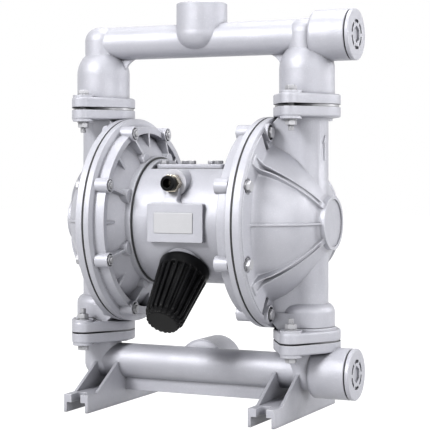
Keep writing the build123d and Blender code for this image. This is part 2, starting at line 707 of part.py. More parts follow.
def discharge_manifold():
    """The top casting: pipe, two ball housings, centre port and plugged end."""
    face = chamber_z + joint_rise + discharge_gap / 2
    pipe_top = top_pipe_z + top_pipe_r
    bell_top, neck_z = face + discharge_bell_rise[0], face + discharge_bell_rise[1]
    body = bar_x(top_pipe_r, -tube_x, end_boss_x[0] + 5, 0, top_pipe_z)
    body += Pos(0, 0, top_pipe_z) * centre_pipe_boss(overall_height - top_pipe_z,
                                                         port_cup[0])
    body += Pos(0, 0, top_pipe_z) * end_boss(top_pipe_r)
    bell = spun_z(Polyline((0, face), (bell_r, face), (bell_r, bell_top)),
                  TangentArc((bell_r, bell_top), (elbow_r, neck_z), tangent=(0, 1)),
                  Polyline((elbow_r, neck_z), (0, neck_z), (0, face)))
    gusset_top = top_pipe_z - top_pipe_r + 1
    corner_x = bell_r - 1
    arm = make_face(
        Polyline((corner_x, gusset_top - gusset_reach - 1), (corner_x - 12, gusset_top + 4),
                 (corner_x + gusset_reach, gusset_top))
        + ThreePointArc((corner_x + gusset_reach, gusset_top),
                        (corner_x + gusset_reach * 0.36, gusset_top - gusset_reach * 0.36),
                        (corner_x, gusset_top - gusset_reach - 1)))
    arm = extrude(Plane.XZ * arm, gusset_t / 2, both=True)
    for side in (-1, 1):
        body += Pos(side * tube_x, 0, 0) * bell
        body += Pos(side * tube_x, 0, neck_z - 2) * neck(pipe_top - neck_z + 2, *elbow_round)
        body += Pos(side * tube_x, 0, face) * flange_plate()
        turn = 180 if side > 0 else 0
        body += Pos(side * tube_x, 0, 0) * Rot(0, 0, turn) * arm

    body -= bar_x(pipe_bore_r, -tube_x, end_boss_x[1], 0, top_pipe_z)
    body -= bar_x(port_thread_r, end_boss_x[1] - plug_stem - 4, end_boss_x[1] + 1, 0, top_pipe_z)
    body -= Pos(0, 0, top_pipe_z) * port_hole(overall_height - top_pipe_z)
    room_top = face + ball_room_top[1]
    room = spun_z(Polyline((0, face - 1), (ball_room_r, face - 1), (ball_room_r, room_top),
                           (riser_bore_r, room_top + 20), (riser_bore_r, top_pipe_z),
                           (0, top_pipe_z), (0, face - 1)))
    for side in (-1, 1):
        body -= Pos(side * tube_x, 0, 0) * room
        body += Pos(side * tube_x, 0, 0) * (ball_cage(face) & bar_z(ball_room_r + 1, face,
                                                                   room_top + 6))
    return body


def foot():
    """One foot across the pump: a channel with gusset walls, drawn at X = 0."""
    y0, y1 = foot_gusset_y
    half = foot_width / 2
    low, top = foot_pad_z
    side = [(-foot_y, 0), (foot_y, 0), (foot_y, top), (y1, top), (y0, bottom_pipe_z),
            (-y0, bottom_pipe_z), (-y1, top), (-foot_y, top)]
    wall = extrude(Plane.YZ * make_face(Polyline(*side, close=True)), foot_wall)
    body = Pos(-half, 0, 0) * wall + Pos(half - foot_wall, 0, 0) * wall
    body += block(-half + 1, half - 1, -foot_y, foot_y, low, top)
    slot_r = foot_slot_width / 2
    for end in (-1, 1):
        y = end * (foot_slot_end_y + slot_r)
        body -= bar_z(slot_r, low - 1, top + 1, y=y)
        edge = end * (foot_y + 1)
        body -= block(-slot_r, slot_r, min(y, edge), max(y, edge), low - 1, top + 1)
    return body


def suction_manifold():
    """The bottom casting: pipe, two flanges, rear port, plugged end and both feet."""
    face = chamber_z - joint_rise - suction_gap / 2
    seat_deep = face - seat_body_t - thread_gap
    body = bar_x(bottom_pipe_r, -tube_x, end_boss_x[0] + 5, 0, bottom_pipe_z)
    boss = centre_pipe_boss(suction_port_y, port_cup[1])
    rear = Plane(origin=(0, 0, bottom_pipe_z), x_dir=(1, 0, 0), z_dir=(0, 1, 0))
    body += rear * rod(port_boss_r, 0, suction_port_y - 2)
    body += rear * boss
    body += Pos(0, 0, bottom_pipe_z) * end_boss(bottom_pipe_r)
    neck_low = bottom_pipe_z - bottom_pipe_r
    for side in (-1, 1):
        at = Pos(side * tube_x, 0, face)
        body += at * Rot(180, 0, 0) * neck(face - neck_low, *elbow_round)
        body += at * Rot(180, 0, 0) * flange_plate()
        body += Pos(side * foot_x, 0, 0) * foot()
    inner = foot_x - foot_width / 2
    body += block(-inner - 1, inner + 1, -web_t / 2, web_t / 2, web_bottom_z,
                  bottom_pipe_z - bottom_pipe_r + 4)

    body -= bar_x(pipe_bore_r, -tube_x, end_boss_x[1], 0, bottom_pipe_z)
    body -= bar_x(port_thread_r, end_boss_x[1] - plug_stem - 4, end_boss_x[1] + 1, 0,
                  bottom_pipe_z)
    body -= rear * port_hole(suction_port_y)
    for side in (-1, 1):
        body -= bar_z(riser_bore_r, bottom_pipe_z, face + 1, side * tube_x)
        body -= bar_z(seat_body_r + thread_gap, seat_deep, face + 1, side * tube_x)
    return body


def end_plug(z):
    """A manifold's end plug: flange, stem, hex socket and a ring of arc recesses."""
    x0 = end_boss_x[1] + plug_gap
    x1 = x0 + plug_flange_t
    flange = bar_x(end_boss_r, x0, x1)
    flange = chamfer(flange.edges().group_by(Axis.X)[-1], 1)
    plug = flange + bar_x(port_thread_r - thread_gap, x0 - plug_gap - plug_stem, x0 + 1)
    front = Plane(origin=(x1 - plug_recess, 0, 0), x_dir=(0, 1, 0), z_dir=(1, 0, 0))
    recess = RegularPolygon(plug_hex / 2, 6, major_radius=False)
    ring = Circle(plug_hex * 0.97) - Circle(plug_hex * 0.76)
    for spoke in range(3):
        ring -= Rot(0, 0, 60 * spoke + 30) * Rectangle(plug_hex * 3, plug_hex * 0.2)
    plug -= extrude(front * Rot(0, 0, 30) * (recess + ring), plug_recess + 1)
    return Pos(0, 0, z) * plug


def seat(gap):
    """A ball seat with its flange on the XY plane's upper side and its body below."""
    ring = rod(seat_flange_r, -gap, 0) + rod(seat_body_r, -gap - seat_body_t, 0)
    ring -= rod(seat_bore_r, -gap - seat_body_t - 1, 1)
    ring -= Pos(0, 0, ball_above_seat) * Sphere(ball_r + ball_gap)
    groove = rod(seat_ring_r + seat_ring_wire, -seat_ring_wire * 0.8, 1)
    return ring - (groove - rod(seat_ring_r - seat_ring_wire, -seat_ring_wire, 1))


def seat_ring():
    """The sealing ring in the seat's groove, drawn under the XY plane."""
    high = seat_ring_wire * 0.8
    return rod(seat_ring_r + seat_ring_wire, -high, 0) \
        - rod(seat_ring_r - seat_ring_wire, -high - 1, 1)


def diaphragm():
    """A rubber diaphragm for the +X side: clamped rim, rolled fold and flat centre."""
    x0, x1 = air_face_x, cap_face_x
    fold_in = outer_plate_r + 1
    fold_out = fold_in + 2 * diaphragm_roll_r
    middle = (fold_in + fold_out) / 2
    crown = diaphragm_roll_r * 0.8
    rim_r = ring_r - diaphragm_edge
    sheet = spun_x(
        Polyline((x0, plate_bolt_r + hole_gap), (x1, plate_bolt_r + hole_gap), (x1, fold_in)),
        ThreePointArc((x1, fold_in), (x1 + crown, middle), (x1, fold_out)),
        Polyline((x1, fold_out), (x1, rim_r), (x0, rim_r), (x0, fold_out)),
        ThreePointArc((x0, fold_out), (x0 + crown, middle), (x0, fold_in)),
        Line((x0, fold_in), (x0, plate_bolt_r + hole_gap)))
    for y, z in cap_bolts:
        sheet -= bar_x(cap_bolt_r + hole_gap, x0 - 1, x1 + 1, y, z)
    return sheet


def inner_plate():
    """The backing plate on the air side of a diaphragm, for the +X side."""
    hole_r = plate_bolt_r + hole_gap
    return spun_x(Polyline(
        (shaft_half, hole_r), (air_face_x, hole_r), (air_face_x, inner_plate_r),
        (air_face_x - plate_rim_t, inner_plate_r), (pilot_pad_x, pilot_drop + pilot_pad_half),
        (pilot_pad_x, pilot_drop - pilot_pad_half), (shaft_half, inner_hub_r),
        (shaft_half, hole_r)))


def outer_plate():
    """The dished plate on the fluid side of a diaphragm, for the +X side."""
    top = cap_face_x + outer_plate_t
    rim = (cap_face_x + plate_rim_t, outer_plate_r)
    flat = (top, plate_bolt_hex * 0.9)
    middle = (top - (top - rim[0]) * 0.32, (rim[1] + flat[1]) / 2)
    return spun_x(
        Polyline((cap_face_x, plate_bolt_r + hole_gap), (cap_face_x, rim[1]), rim),
        ThreePointArc(rim, middle, flat),
        Polyline(flat, (top, plate_bolt_r + hole_gap), (cap_face_x, plate_bolt_r + hole_gap)))


def plate_bolt():
    """The hex bolt that clamps a diaphragm's plates to the shaft, for the +X side."""
    head_x = cap_face_x + outer_plate_t
    bolt = hex_bolt(plate_bolt_r, head_x - shaft_half + plate_bolt_depth, plate_bolt_hex,
                    plate_bolt_head)
    return Pos(head_x, 0, 0) * Rot(0, 90, 0) * bolt


def shaft():
    """The diaphragm shaft, tapped at both ends."""
    bar = bar_x(shaft_r, -shaft_half, shaft_half)
    bar = chamfer(bar.edges().filter_by(GeomType.CIRCLE), 1)
    for side in (-1, 1):
        ends = side * (shaft_half + 1), side * (shaft_half - plate_bolt_depth - 2)
        bar -= bar_x(plate_bolt_r + thread_gap, min(ends), max(ends))
    return bar


def shaft_bush():
    """A shaft bush at one end of the centre body, for the +X side."""
    x0, x1 = body_half - bush_length, body_half
    return bar_x(bush_r, x0, x1) - bar_x(shaft_r + slide_gap, x0 - 1, x1 + 1)


def shaft_seal():
    """A lip seal behind the shaft bush, for the +X side."""
    x1 = body_half - bush_length
    ring = bar_x(bush_r - seal_step, x1 - shaft_seal_width, x1)
    return ring - bar_x(shaft_r + seal_gap, x1 - shaft_seal_width - 1, x1 + 1)


def pilot_rod():
    """The pilot rod that the diaphragm plates push at each end of the stroke."""
    return chamfer(bar_x(pilot_r, -pilot_half, pilot_half, *pilot_yz).edges()
                   .filter_by(GeomType.CIRCLE), 0.8)


def pilot_bush():
    """A bush for the pilot rod, for the +X side."""
    x0, x1 = body_half - bush_length, body_half
    return bar_x(pilot_bush_r, x0, x1, *pilot_yz) \
        - bar_x(pilot_r + slide_gap, x0 - 1, x1 + 1, *pilot_yz)


def valve_sleeve():
    """The main air valve's sleeve, with rings of ports."""
    sleeve = bar_x(valve_sleeve_r, -valve_sleeve_half, valve_sleeve_half)
    sleeve -= bar_x(valve_bore_r, -valve_sleeve_half - 1, valve_sleeve_half + 1)
    reach = valve_sleeve_r + 1
    for x in (-valve_port_x, 0, valve_port_x):
        sleeve -= bar_z(valve_port_r, -reach, reach, x)
        sleeve -= bar_y(valve_port_r, -reach, reach, x)
    return Pos(0, 0, valve_z) * sleeve


def valve_end_cap():
    """The disc that closes one end of the valve sleeve, for the +X side."""
    disc = bar_x(valve_sleeve_r, valve_sleeve_half, valve_sleeve_half + valve_cap_t)
    return Pos(0, 0, valve_z) * disc


def spool():
    """The valve spool: three grooved lands on a thinner bar."""
    land_r = valve_bore_r - seal_gap
    bar = bar_x(spool_neck_r, spool_x - spool_half, spool_x + spool_half)
    for x in spool_land_x:
        bar += bar_x(land_r, x - spool_land / 2, x + spool_land / 2)
        bar -= spool_ring(x, land_r + 1)
    return Pos(0, 0, valve_z) * bar


def spool_ring(x, radius):
    """A ring as wide and deep as a groove of the spool, out to a radius."""
    half = spool_groove / 2
    floor_r = valve_bore_r - seal_gap - spool_groove_deep
    return bar_x(radius, x - half, x + half) - bar_x(floor_r, x - half - 1, x + half + 1)


def spool_seals():
    """The seal rings in the spool's grooves."""
    return [Pos(0, 0, valve_z) * spool_ring(x, valve_bore_r - slide_gap) for x in spool_land_x]


def muffler():
    """The exhaust muffler: a tapered shell with a plain collar and standing ribs."""
    start, end = muffler_start, muffler_start + muffler_length
    mid = start + muffler_collar
    taper = (muffler_base_r - muffler_tip_r) / muffler_length

    def shell_r(distance):
        return muffler_base_r - (distance - start) * taper

    core = muffler_rib_h
    body = spun_z(Polyline(
        (muffler_stem_r, start), (muffler_base_r - 2, start), (shell_r(start + 3), start + 3),
        (shell_r(mid), mid), (shell_r(mid) - core, mid + 1), (shell_r(end) - core, end),
        (0, end), (0, start), (muffler_stem_r, start)))
    rib = Plane.XZ * make_face(Polyline(
        (shell_r(mid) - core - 2, mid - 2), (shell_r(mid) - 0.3, mid - 2),
        (shell_r(end) - 0.3, end), (shell_r(end) - core - 2, end), close=True))
    rib = extrude(rib, muffler_rib_t / 2, both=True)
    for i in range(muffler_rib_count):
        body += Rot(0, 0, 360 / muffler_rib_count * i) * rib
    body -= spun_z(Polyline(
        (0, start - 1), (muffler_stem_r, start - 1), (muffler_stem_r, start + muffler_wall),
        (shell_r(start) - core - muffler_wall, start + muffler_wall),
        (shell_r(end) - core - muffler_wall, end - muffler_wall), (0, end - muffler_wall),
        (0, start - 1)))
    stem = rod(muffler_stem_r, muffler_stem_end, start + muffler_wall) \
        - rod(muffler_stem_r - muffler_wall, muffler_stem_end - 1, start + muffler_wall + 1)
    return along_muffler(body + stem)


def muffler_core():
    """The porous tube inside the muffler."""
    start = muffler_start + muffler_wall
    end = muffler_start + muffler_length - muffler_wall
    core = rod(muffler_stem_r - 0.5, start, end) - rod(muffler_stem_r - 5, start - 1, end - 5)
    return along_muffler(core)


def inlet_fitting():
    """The brass air fitting: thread, hexagon and socket for the tube collar."""
    y0 = -inlet_front
    hexagon = Pos(inlet_x, y0, inlet_z) * Rot(90, 0, 0) * hex_bar(inlet_hex, inlet_hex_t)
    fitting = hexagon + bar_y(inlet_thread_r, y0 - 1, y0 + 16, inlet_x, inlet_z)
    fitting -= bar_y(inlet_collar_r - 2, y0 - inlet_hex_t - 1, y0 - 1, inlet_x, inlet_z)
    return fitting - bar_y(inlet_tube_r - 1, y0 - 2, y0 + 17, inlet_x, inlet_z)


def inlet_collar():
    """The black push-in collar that grips a 12 mm air tube."""
    face = -inlet_front - inlet_hex_t
    collar = bar_y(inlet_collar_r, face - inlet_collar_t, face, inlet_x, inlet_z)
    collar = chamfer(collar.edges().group_by(Axis.Y)[0], 1.5)
    collar += bar_y(inlet_collar_r - 2, face - 1, face + inlet_hex_t - 1, inlet_x, inlet_z)
    return collar - bar_y(inlet_tube_r, face - inlet_collar_t - 1, face + inlet_hex_t, inlet_x,
                          inlet_z)


def name_plate():
    """The blank plate on the pad."""
    x, z = plate_half
    plate = block(pad_x - x - 2, pad_x + x - 2, -pad_front - plate_t, -pad_front, -z, z)
    return fillet(plate.edges().filter_by(Axis.Y), 1)


def cap_bolt_set():
    """Bolts, washers and nuts of one clamp ring, for the +X side."""
    seat_x = nut_seat_x
    out = Rot(0, 90, 0)
    shank = ring_out_x + m8_washer_t - seat_x + m8_nut + bolt_tail
    bolts, washers, nuts = [], [], []
    for y, z in cap_bolts:
        bolts.append(Pos(ring_out_x + m8_washer_t, y, z) * out
                     * hex_bolt(cap_bolt_r, shank, m8_hex, m8_head))
        washers.append(Pos(ring_out_x, y, z) * out
                       * washer(m8_washer_r, cap_bolt_r + hole_gap / 2, m8_washer_t))
        nuts.append(Pos(seat_x - m8_nut, y, z) * out
                    * hex_nut(m8_hex, m8_nut, cap_bolt_r + thread_gap))
    return bolts, washers, nuts


def flange_bolt_set(joint_z, gap, up):
    """Bolts, washers and nuts of the two ball joints at one height."""
    half = gap / 2 + flange_t + flange_pad_t
    way = 1 if up else -1
    flip = Rot(0, 0, 0) if up else Rot(180, 0, 0)
    shank = 2 * half + 2 * m8_washer_t + m8_nut + flange_bolt_tail
    bolts, washers, nuts = [], [], []
    for x in (-tube_x, tube_x):
        for y in (-flange_bolt_y, flange_bolt_y):
            head = Pos(x, y, joint_z + way * half) * flip
            foot_end = Pos(x, y, joint_z - way * half) * flip * Rot(180, 0, 0)
            disc = washer(m8_washer_r, flange_bolt_r + hole_gap / 2, m8_washer_t)
            bolts.append(head * Pos(0, 0, m8_washer_t)
                         * hex_bolt(flange_bolt_r, shank, m8_hex, m8_head))
            washers.extend([head * disc, foot_end * disc])
            nuts.append(foot_end * Pos(0, 0, m8_washer_t)
                        * hex_nut(m8_hex, m8_nut, flange_bolt_r + thread_gap))
    return bolts, washers, nuts


def cap_screw_set():
    """The socket screws that hold an air cap to the centre body, for the +X side."""
    seat_x = chamber_floor_x - cap_screw_r * 2
    screws = []
    for y, z in cap_screws:
        head = bar_x(cap_screw_r * 1.75, seat_x, seat_x + cap_screw_r * 2 - 0.5, y, z)
        screws.append(head + bar_x(cap_screw_r, body_half - cap_screw_depth, seat_x + 1, y, z))
    return screws


def balls(base_z):
    """The two balls of one ball joint height, whose seats' top faces are at base_z."""
    return [Pos(side * tube_x, 0, base_z + ball_above_seat) * Sphere(ball_r)
            for side in (-1, 1)]


def save(name, *shapes):
    """Write one sub-part; several like solids go in together."""
    solids = [s for shape in shapes for s in shape.solids()]
    if len(solids) == 1:
        export_step(solids[0], f"parts/{name}.step")
    else:
        export_step(Compound(children=solids), f"parts/{name}.step")


def at_height(shapes):
    """Lift shapes that are drawn about the shaft axis."""
    return [Pos(0, 0, chamber_z) * shape for shape in shapes]


suction_joint = chamber_z - joint_rise
discharge_joint = chamber_z + joint_rise
suction_seat_z = suction_joint + suction_gap / 2
discharge_seat_z = discharge_joint + discharge_gap / 2
joint_sides = [Pos(side * tube_x, 0, 0) for side in (-1, 1)]

save("centre_body", *at_height([centre_body()]))
save("valve_cover", *at_height([valve_cover()]))
save("valve_cover_gasket", *at_height([cover_gasket()]))
save("valve_cover_screws", *at_height(cover_screws()))
save("name_plate", *at_height([name_plate()]))
save("discharge_manifold", discharge_manifold())
save("suction_manifold", suction_manifold())
save("discharge_end_plug", end_plug(top_pipe_z))
save("suction_end_plug", end_plug(bottom_pipe_z))
plug_ring = bar_x(end_boss_r - plug_ring_inset, end_boss_x[1], end_boss_x[1] + plug_gap) \
    - bar_x(port_thread_r + hole_gap, end_boss_x[1] - 1, end_boss_x[1] + plug_gap + 1)
save("plug_rings", Pos(0, 0, top_pipe_z) * plug_ring, Pos(0, 0, bottom_pipe_z) * plug_ring)

# The four ball valves.
discharge_seat = Pos(0, 0, discharge_seat_z) * seat(discharge_gap)
suction_seat = Pos(0, 0, suction_seat_z) * seat(suction_gap)
save("discharge_seats", *[at * discharge_seat for at in joint_sides])
save("suction_seats", *[at * suction_seat for at in joint_sides])
save("discharge_seat_rings", *[at * Pos(0, 0, discharge_seat_z) * seat_ring()
                               for at in joint_sides])
save("suction_seat_rings", *[at * Pos(0, 0, suction_seat_z) * seat_ring() for at in joint_sides])
for name, base_z in (("discharge", discharge_seat_z), ("suction", suction_seat_z)):
    left, right = balls(base_z)
    save(f"left_{name}_ball", left)
    save(f"right_{name}_ball", right)
for name, joint_z, gap, up in (("discharge", discharge_joint, discharge_gap, True),
                               ("suction", suction_joint, suction_gap, False)):
    bolts, washers, nuts = flange_bolt_set(joint_z, gap, up)
    save(f"{name}_flange_bolts", *bolts)
    save(f"{name}_flange_washers", *washers)
    save(f"{name}_flange_nuts", *nuts)

# The two pumping chambers.
right_fluid_cap = fluid_cap()
right_air_cap = air_cap()
cap_hardware = cap_bolt_set()
for name, side in (("right", 1), ("left", -1)):
    save(f"{name}_fluid_cap", placed(right_fluid_cap, side))
    save(f"{name}_air_cap", placed(right_air_cap, side))
    save(f"{name}_hub_gasket", placed(hub_gasket(), side))
    save(f"{name}_diaphragm", placed(diaphragm(), side))
    save(f"{name}_inner_plate", placed(inner_plate(), side))
    save(f"{name}_outer_plate", placed(outer_plate(), side))
    for kind, shapes in zip(("bolts", "washers", "nuts"), cap_hardware):
        save(f"{name}_cap_{kind}", *[placed(shape, side) for shape in shapes])
    save(f"{name}_air_cap_screws", *[placed(shape, side) for shape in cap_screw_set()])

# The shaft with its bushes, the pilot rod and the air valve.
sides = (-1, 1)
save("diaphragm_shaft", *at_height([shaft()]))
save("plate_bolts", *[placed(plate_bolt(), side) for side in sides])
save("shaft_bushes", *[placed(shaft_bush(), side) for side in sides])
save("shaft_seals", *[placed(shaft_seal(), side) for side in sides])
save("pilot_rod", *at_height([pilot_rod()]))
save("pilot_bushes", *at_height([pilot_bush(), mirror(pilot_bush(), Plane.YZ)]))
save("main_valve_sleeve", *at_height([valve_sleeve()]))
save("main_valve_spool", *at_height([spool()]))
save("spool_seals", *at_height(spool_seals()))
save("valve_end_caps", *[placed(valve_end_cap(), side) for side in sides])

# The muffler and the air inlet.
save("muffler", *at_height([muffler()]))
save("muffler_core", *at_height([muffler_core()]))
save("inlet_fitting", *at_height([inlet_fitting()]))
save("inlet_collar", *at_height([inlet_collar()]))
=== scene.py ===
from math import cos, pi, radians, sin, tau
import bmesh
import bpy
import numpy as np
from mathutils import Matrix, Vector


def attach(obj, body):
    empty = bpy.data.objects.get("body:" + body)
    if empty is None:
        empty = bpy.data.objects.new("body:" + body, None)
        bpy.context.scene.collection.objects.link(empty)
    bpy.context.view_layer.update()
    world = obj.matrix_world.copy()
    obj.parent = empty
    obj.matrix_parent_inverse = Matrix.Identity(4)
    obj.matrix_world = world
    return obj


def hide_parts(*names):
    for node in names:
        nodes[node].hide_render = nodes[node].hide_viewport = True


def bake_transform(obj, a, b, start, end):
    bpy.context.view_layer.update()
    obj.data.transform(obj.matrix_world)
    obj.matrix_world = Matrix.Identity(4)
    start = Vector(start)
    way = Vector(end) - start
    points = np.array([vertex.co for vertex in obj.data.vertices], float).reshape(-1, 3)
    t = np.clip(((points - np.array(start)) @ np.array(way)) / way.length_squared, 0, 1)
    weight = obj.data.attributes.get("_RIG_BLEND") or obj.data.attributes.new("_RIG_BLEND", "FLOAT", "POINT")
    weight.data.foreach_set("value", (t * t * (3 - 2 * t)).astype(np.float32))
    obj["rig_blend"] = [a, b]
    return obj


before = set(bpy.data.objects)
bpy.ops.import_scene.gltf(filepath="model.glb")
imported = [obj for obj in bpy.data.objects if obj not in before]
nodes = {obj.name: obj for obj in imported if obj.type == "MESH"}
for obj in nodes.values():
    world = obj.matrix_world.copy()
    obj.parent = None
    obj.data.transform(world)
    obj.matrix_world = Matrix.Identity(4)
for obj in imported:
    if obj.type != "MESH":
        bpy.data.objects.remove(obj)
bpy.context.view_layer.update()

# Camera. The pump stands turned about 25 degrees, so that its left side lies nearer,
# and is seen level, from a little above its middle.
camera_place = Vector((0.8366, -1.7499, 0.3284))
view_turn = radians(25.03)
frame_px = 430
focal_px = 1436.8
horizon_px = 164.04
sensor = 0.036

camera = bpy.data.objects.new("camera", bpy.data.cameras.new("camera"))
bpy.context.scene.collection.objects.link(camera)
camera.location = camera_place
camera.rotation_euler = (pi / 2, 0, view_turn)
camera.data.sensor_width = sensor * 1000
camera.data.lens = camera.data.sensor_width * focal_px / frame_px
camera.data.shift_y = -(frame_px / 2 - horizon_px) / frame_px
camera.data.clip_end = 50
bpy.context.scene.camera = camera

# Suction casting. The bottom casting of the pump holds the pipe, two flanges, the rear
# port and both feet. It is sand-cast aluminium, shot-blasted and coated silver.
silver = (0.42, 0.422, 0.465, 1)
silver_dark = (0.33, 0.332, 0.375, 1)
silver_bare_and_highlight = (0.74, 0.74, 0.76, 1)
grain_size = 0.0011
patch_size = 0.03
edge_width = 0.0012
# The reaches, ranges and share of the hollows set a painted shade in creases, recesses and under parts; the
# edge ranges and share set the edges' lightening, partly wear and partly painted highlight.
hollow_reach = 0.007
wide_reach = 5.0
near_range = (0.1, 0.85)
wide_range = (0.25, 0.95)
wide_share = 0.6
wear_and_highlight_range = (0.02, 0.22)
shut_range = (0.25, 0.6)
patch_range = (0.35, 0.65)
speckle_range = (0.56, 0.72)
patch_share = 0.22
speckle_share = 0.3
wear_and_highlight_share = 0.6
shade_share = 0.22


def new_group(name, inputs, outputs):
    """An empty shader node group with named sockets, and its two end nodes."""
    group = bpy.data.node_groups.new(name, "ShaderNodeTree")
    for socket, kind, value in inputs:
        made = group.interface.new_socket(socket, in_out="INPUT", socket_type=kind)
        made.default_value = value
    for socket, kind in outputs:
        group.interface.new_socket(socket, in_out="OUTPUT", socket_type=kind)
    return group, group.nodes.new("NodeGroupInput"), group.nodes.new("NodeGroupOutput")


def add(tree, kind, **values):
    """A new node; values name its properties, or its input sockets with _ for a space."""
    node = tree.nodes.new("ShaderNode" + kind)
    for key, value in values.items():
        if hasattr(node, key):
            setattr(node, key, value)
        else:
            node.inputs[key.replace("_", " ")].default_value = value
    return node


def mathematics(tree, operation, a, b=None, clamp=False):
    """A Math node of two sockets or numbers; returns its output."""
    node = add(tree, "Math", operation=operation, use_clamp=clamp)
    for socket, value in zip(node.inputs, (a, b)):
        if isinstance(value, (int, float)):
            socket.default_value = value
        elif value is not None:
            tree.links.new(value, socket)
    return node.outputs[0]


def ramp(tree, value, low, high):
    """A socket's value from low to high, mapped smoothly to 0 to 1."""
    node = add(tree, "MapRange", interpolation_type="SMOOTHSTEP")
    tree.links.new(value, node.inputs["Value"])
    node.inputs["From Min"].default_value = low
    node.inputs["From Max"].default_value = high
    return node.outputs["Result"]


def blend_colours(tree, factor, a, b, mode="MIX"):
    """A colour mix of two sockets or colours; returns its colour output."""
    node = add(tree, "Mix", data_type="RGBA", blend_type=mode)
    for socket, value in ((node.inputs[0], factor), (node.inputs[6], a), (node.inputs[7], b)):
        if hasattr(value, "is_output"):
            tree.links.new(value, socket)
        else:
            socket.default_value = value
    return node.outputs[2]


def build_edge_group():
    """Edges and hollows: how far a rounded edge's normal turns, and how much is shut in."""
    group, start, end = new_group(
        "edges_and_hollows",
        [("Edge width", "NodeSocketFloat", edge_width),
         ("Reach", "NodeSocketFloat", hollow_reach)],
        [("Edge", "NodeSocketFloat"), ("Hollow", "NodeSocketFloat"),
         ("Normal", "NodeSocketVector")])
    round_off = add(group, "Bevel", samples=6)
    group.links.new(start.outputs["Edge width"], round_off.inputs["Radius"])
    face = add(group, "NewGeometry")
    dot = add(group, "VectorMath", operation="DOT_PRODUCT")
    group.links.new(round_off.outputs[0], dot.inputs[0])
    group.links.new(face.outputs["Normal"], dot.inputs[1])
    bent = mathematics(group, "SUBTRACT", 1.0, dot.outputs["Value"])
    # Hollow: how much is shut in at a near and a wide reach; the materials use it to paint shade into
    # creases, recesses and places under parts.
    shut = []
    for times in (1.0, wide_reach):
        around = add(group, "AmbientOcclusion", samples=6)
        group.links.new(mathematics(group, "MULTIPLY", start.outputs["Reach"], times),
                        around.inputs["Distance"])
        shut.append(mathematics(group, "SUBTRACT", 1.0, around.outputs["AO"]))
    near = ramp(group, shut[0], *near_range)
    wide = mathematics(group, "MULTIPLY", ramp(group, shut[1], *wide_range), wide_share)
    # Edge: the normal's turn on edges that are not shut in; the materials lighten these, partly as wear and
    # partly as painted highlight.
    open_edge = mathematics(group, "SUBTRACT", ramp(group, bent, *wear_and_highlight_range),
                            ramp(group, shut[0], *shut_range), clamp=True)
    group.links.new(open_edge, end.inputs["Edge"])
    group.links.new(mathematics(group, "MAXIMUM", near, wide), end.inputs["Hollow"])
    group.links.new(round_off.outputs[0], end.inputs["Normal"])
    return group


def build_grain_group():
    """Fine grain, broad patches and soft speckles, all from Object coordinates."""
    group, start, end = new_group(
        "surface_grain",
        [("Grain size", "NodeSocketFloat", grain_size),
         ("Patch size", "NodeSocketFloat", patch_size)],
        [("Height", "NodeSocketFloat"), ("Patch", "NodeSocketFloat"),
         ("Speckle", "NodeSocketFloat")])
    place = add(group, "TexCoord")
    outs = []
    for size, detail in ((start.outputs["Grain size"], 3.0), (start.outputs["Patch size"], 4.0)):
        noise = add(group, "TexNoise", Detail=detail, Roughness=0.6)
        group.links.new(place.outputs["Object"], noise.inputs["Vector"])
        group.links.new(mathematics(group, "DIVIDE", 1.0, size), noise.inputs["Scale"])
        outs.append(noise.outputs[0])
    group.links.new(outs[0], end.inputs["Height"])
    group.links.new(ramp(group, outs[1], *patch_range), end.inputs["Patch"])
    group.links.new(ramp(group, outs[0], *speckle_range), end.inputs["Speckle"])
    return group


edge_group = build_edge_group()
grain_group = build_grain_group()


def new_material(name):
    """A material with its tree and its Principled shader."""
    material = bpy.data.materials.new(name)
    material.use_nodes = True
    return material, material.node_tree, material.node_tree.nodes["Principled BSDF"]


def use_group(tree, group, **values):
    """A node that holds a group, with values for its inputs."""
    node = tree.nodes.new("ShaderNodeGroup")
    node.node_tree = group
    for key, value in values.items():
        node.inputs[key.replace("_", " ")].default_value = value
    return node


def tint(tree, tone, mask, amount, colour):
    """A tone mixed towards a colour by a mask times an amount."""
    return blend_colours(tree, mathematics(tree, "MULTIPLY", mask, amount), tone, colour)


def finish_surface(tree, shader, edges, skin, rough, spread, strength, height):
    """Joins a roughness that varies by patches, and the grain's bump, to a shader."""
    rougher = mathematics(tree, "MULTIPLY", skin.outputs["Patch"], spread)
    tree.links.new(mathematics(tree, "ADD", rougher, rough), shader.inputs["Roughness"])
    bump = add(tree, "Bump", Strength=strength, Distance=height)
    tree.links.new(skin.outputs["Height"], bump.inputs["Height"])
    tree.links.new(edges.outputs["Normal"], bump.inputs["Normal"])
    tree.links.new(bump.outputs["Normal"], shader.inputs["Normal"])


def metal(name, colour, dark, bare_and_highlight, metallic, rough, grain, height, painted_shade=0.55, edge=edge_width):
    """A coated or uncoated metal: patches of tone, bright edges that are partly wear and partly painted
    highlight, painted shade in hollows, fine grain.
    """
    material, tree, shader = new_material(name)
    edges = use_group(tree, edge_group, Edge_width=edge)
    skin = use_group(tree, grain_group, Grain_size=grain, Patch_size=patch_size)
    shade_colour = [c * shade_share for c in dark[:3]] + [1]
    tone = tint(tree, colour, skin.outputs["Patch"], patch_share, dark)
    tone = tint(tree, tone, skin.outputs["Speckle"], speckle_share, bare_and_highlight)
    # Painted shade: creases, recesses and places under parts darken towards a dark copy of the tone.
    tone = tint(tree, tone, edges.outputs["Hollow"], painted_shade, shade_colour)
    # Edges lighten towards the uncoated colour, partly as wear and partly as painted highlight.
    tone = tint(tree, tone, edges.outputs["Edge"], wear_and_highlight_share, bare_and_highlight)
    tree.links.new(tone, shader.inputs["Base Color"])
    shader.inputs["Metallic"].default_value = metallic
    finish_surface(tree, shader, edges, skin, rough, spread=0.08, strength=0.6, height=height)
    return material


def dress(material, *names):
    """Give CAD nodes a material."""
    for name in names:
        for slot in nodes[name].material_slots:
            slot.material = material


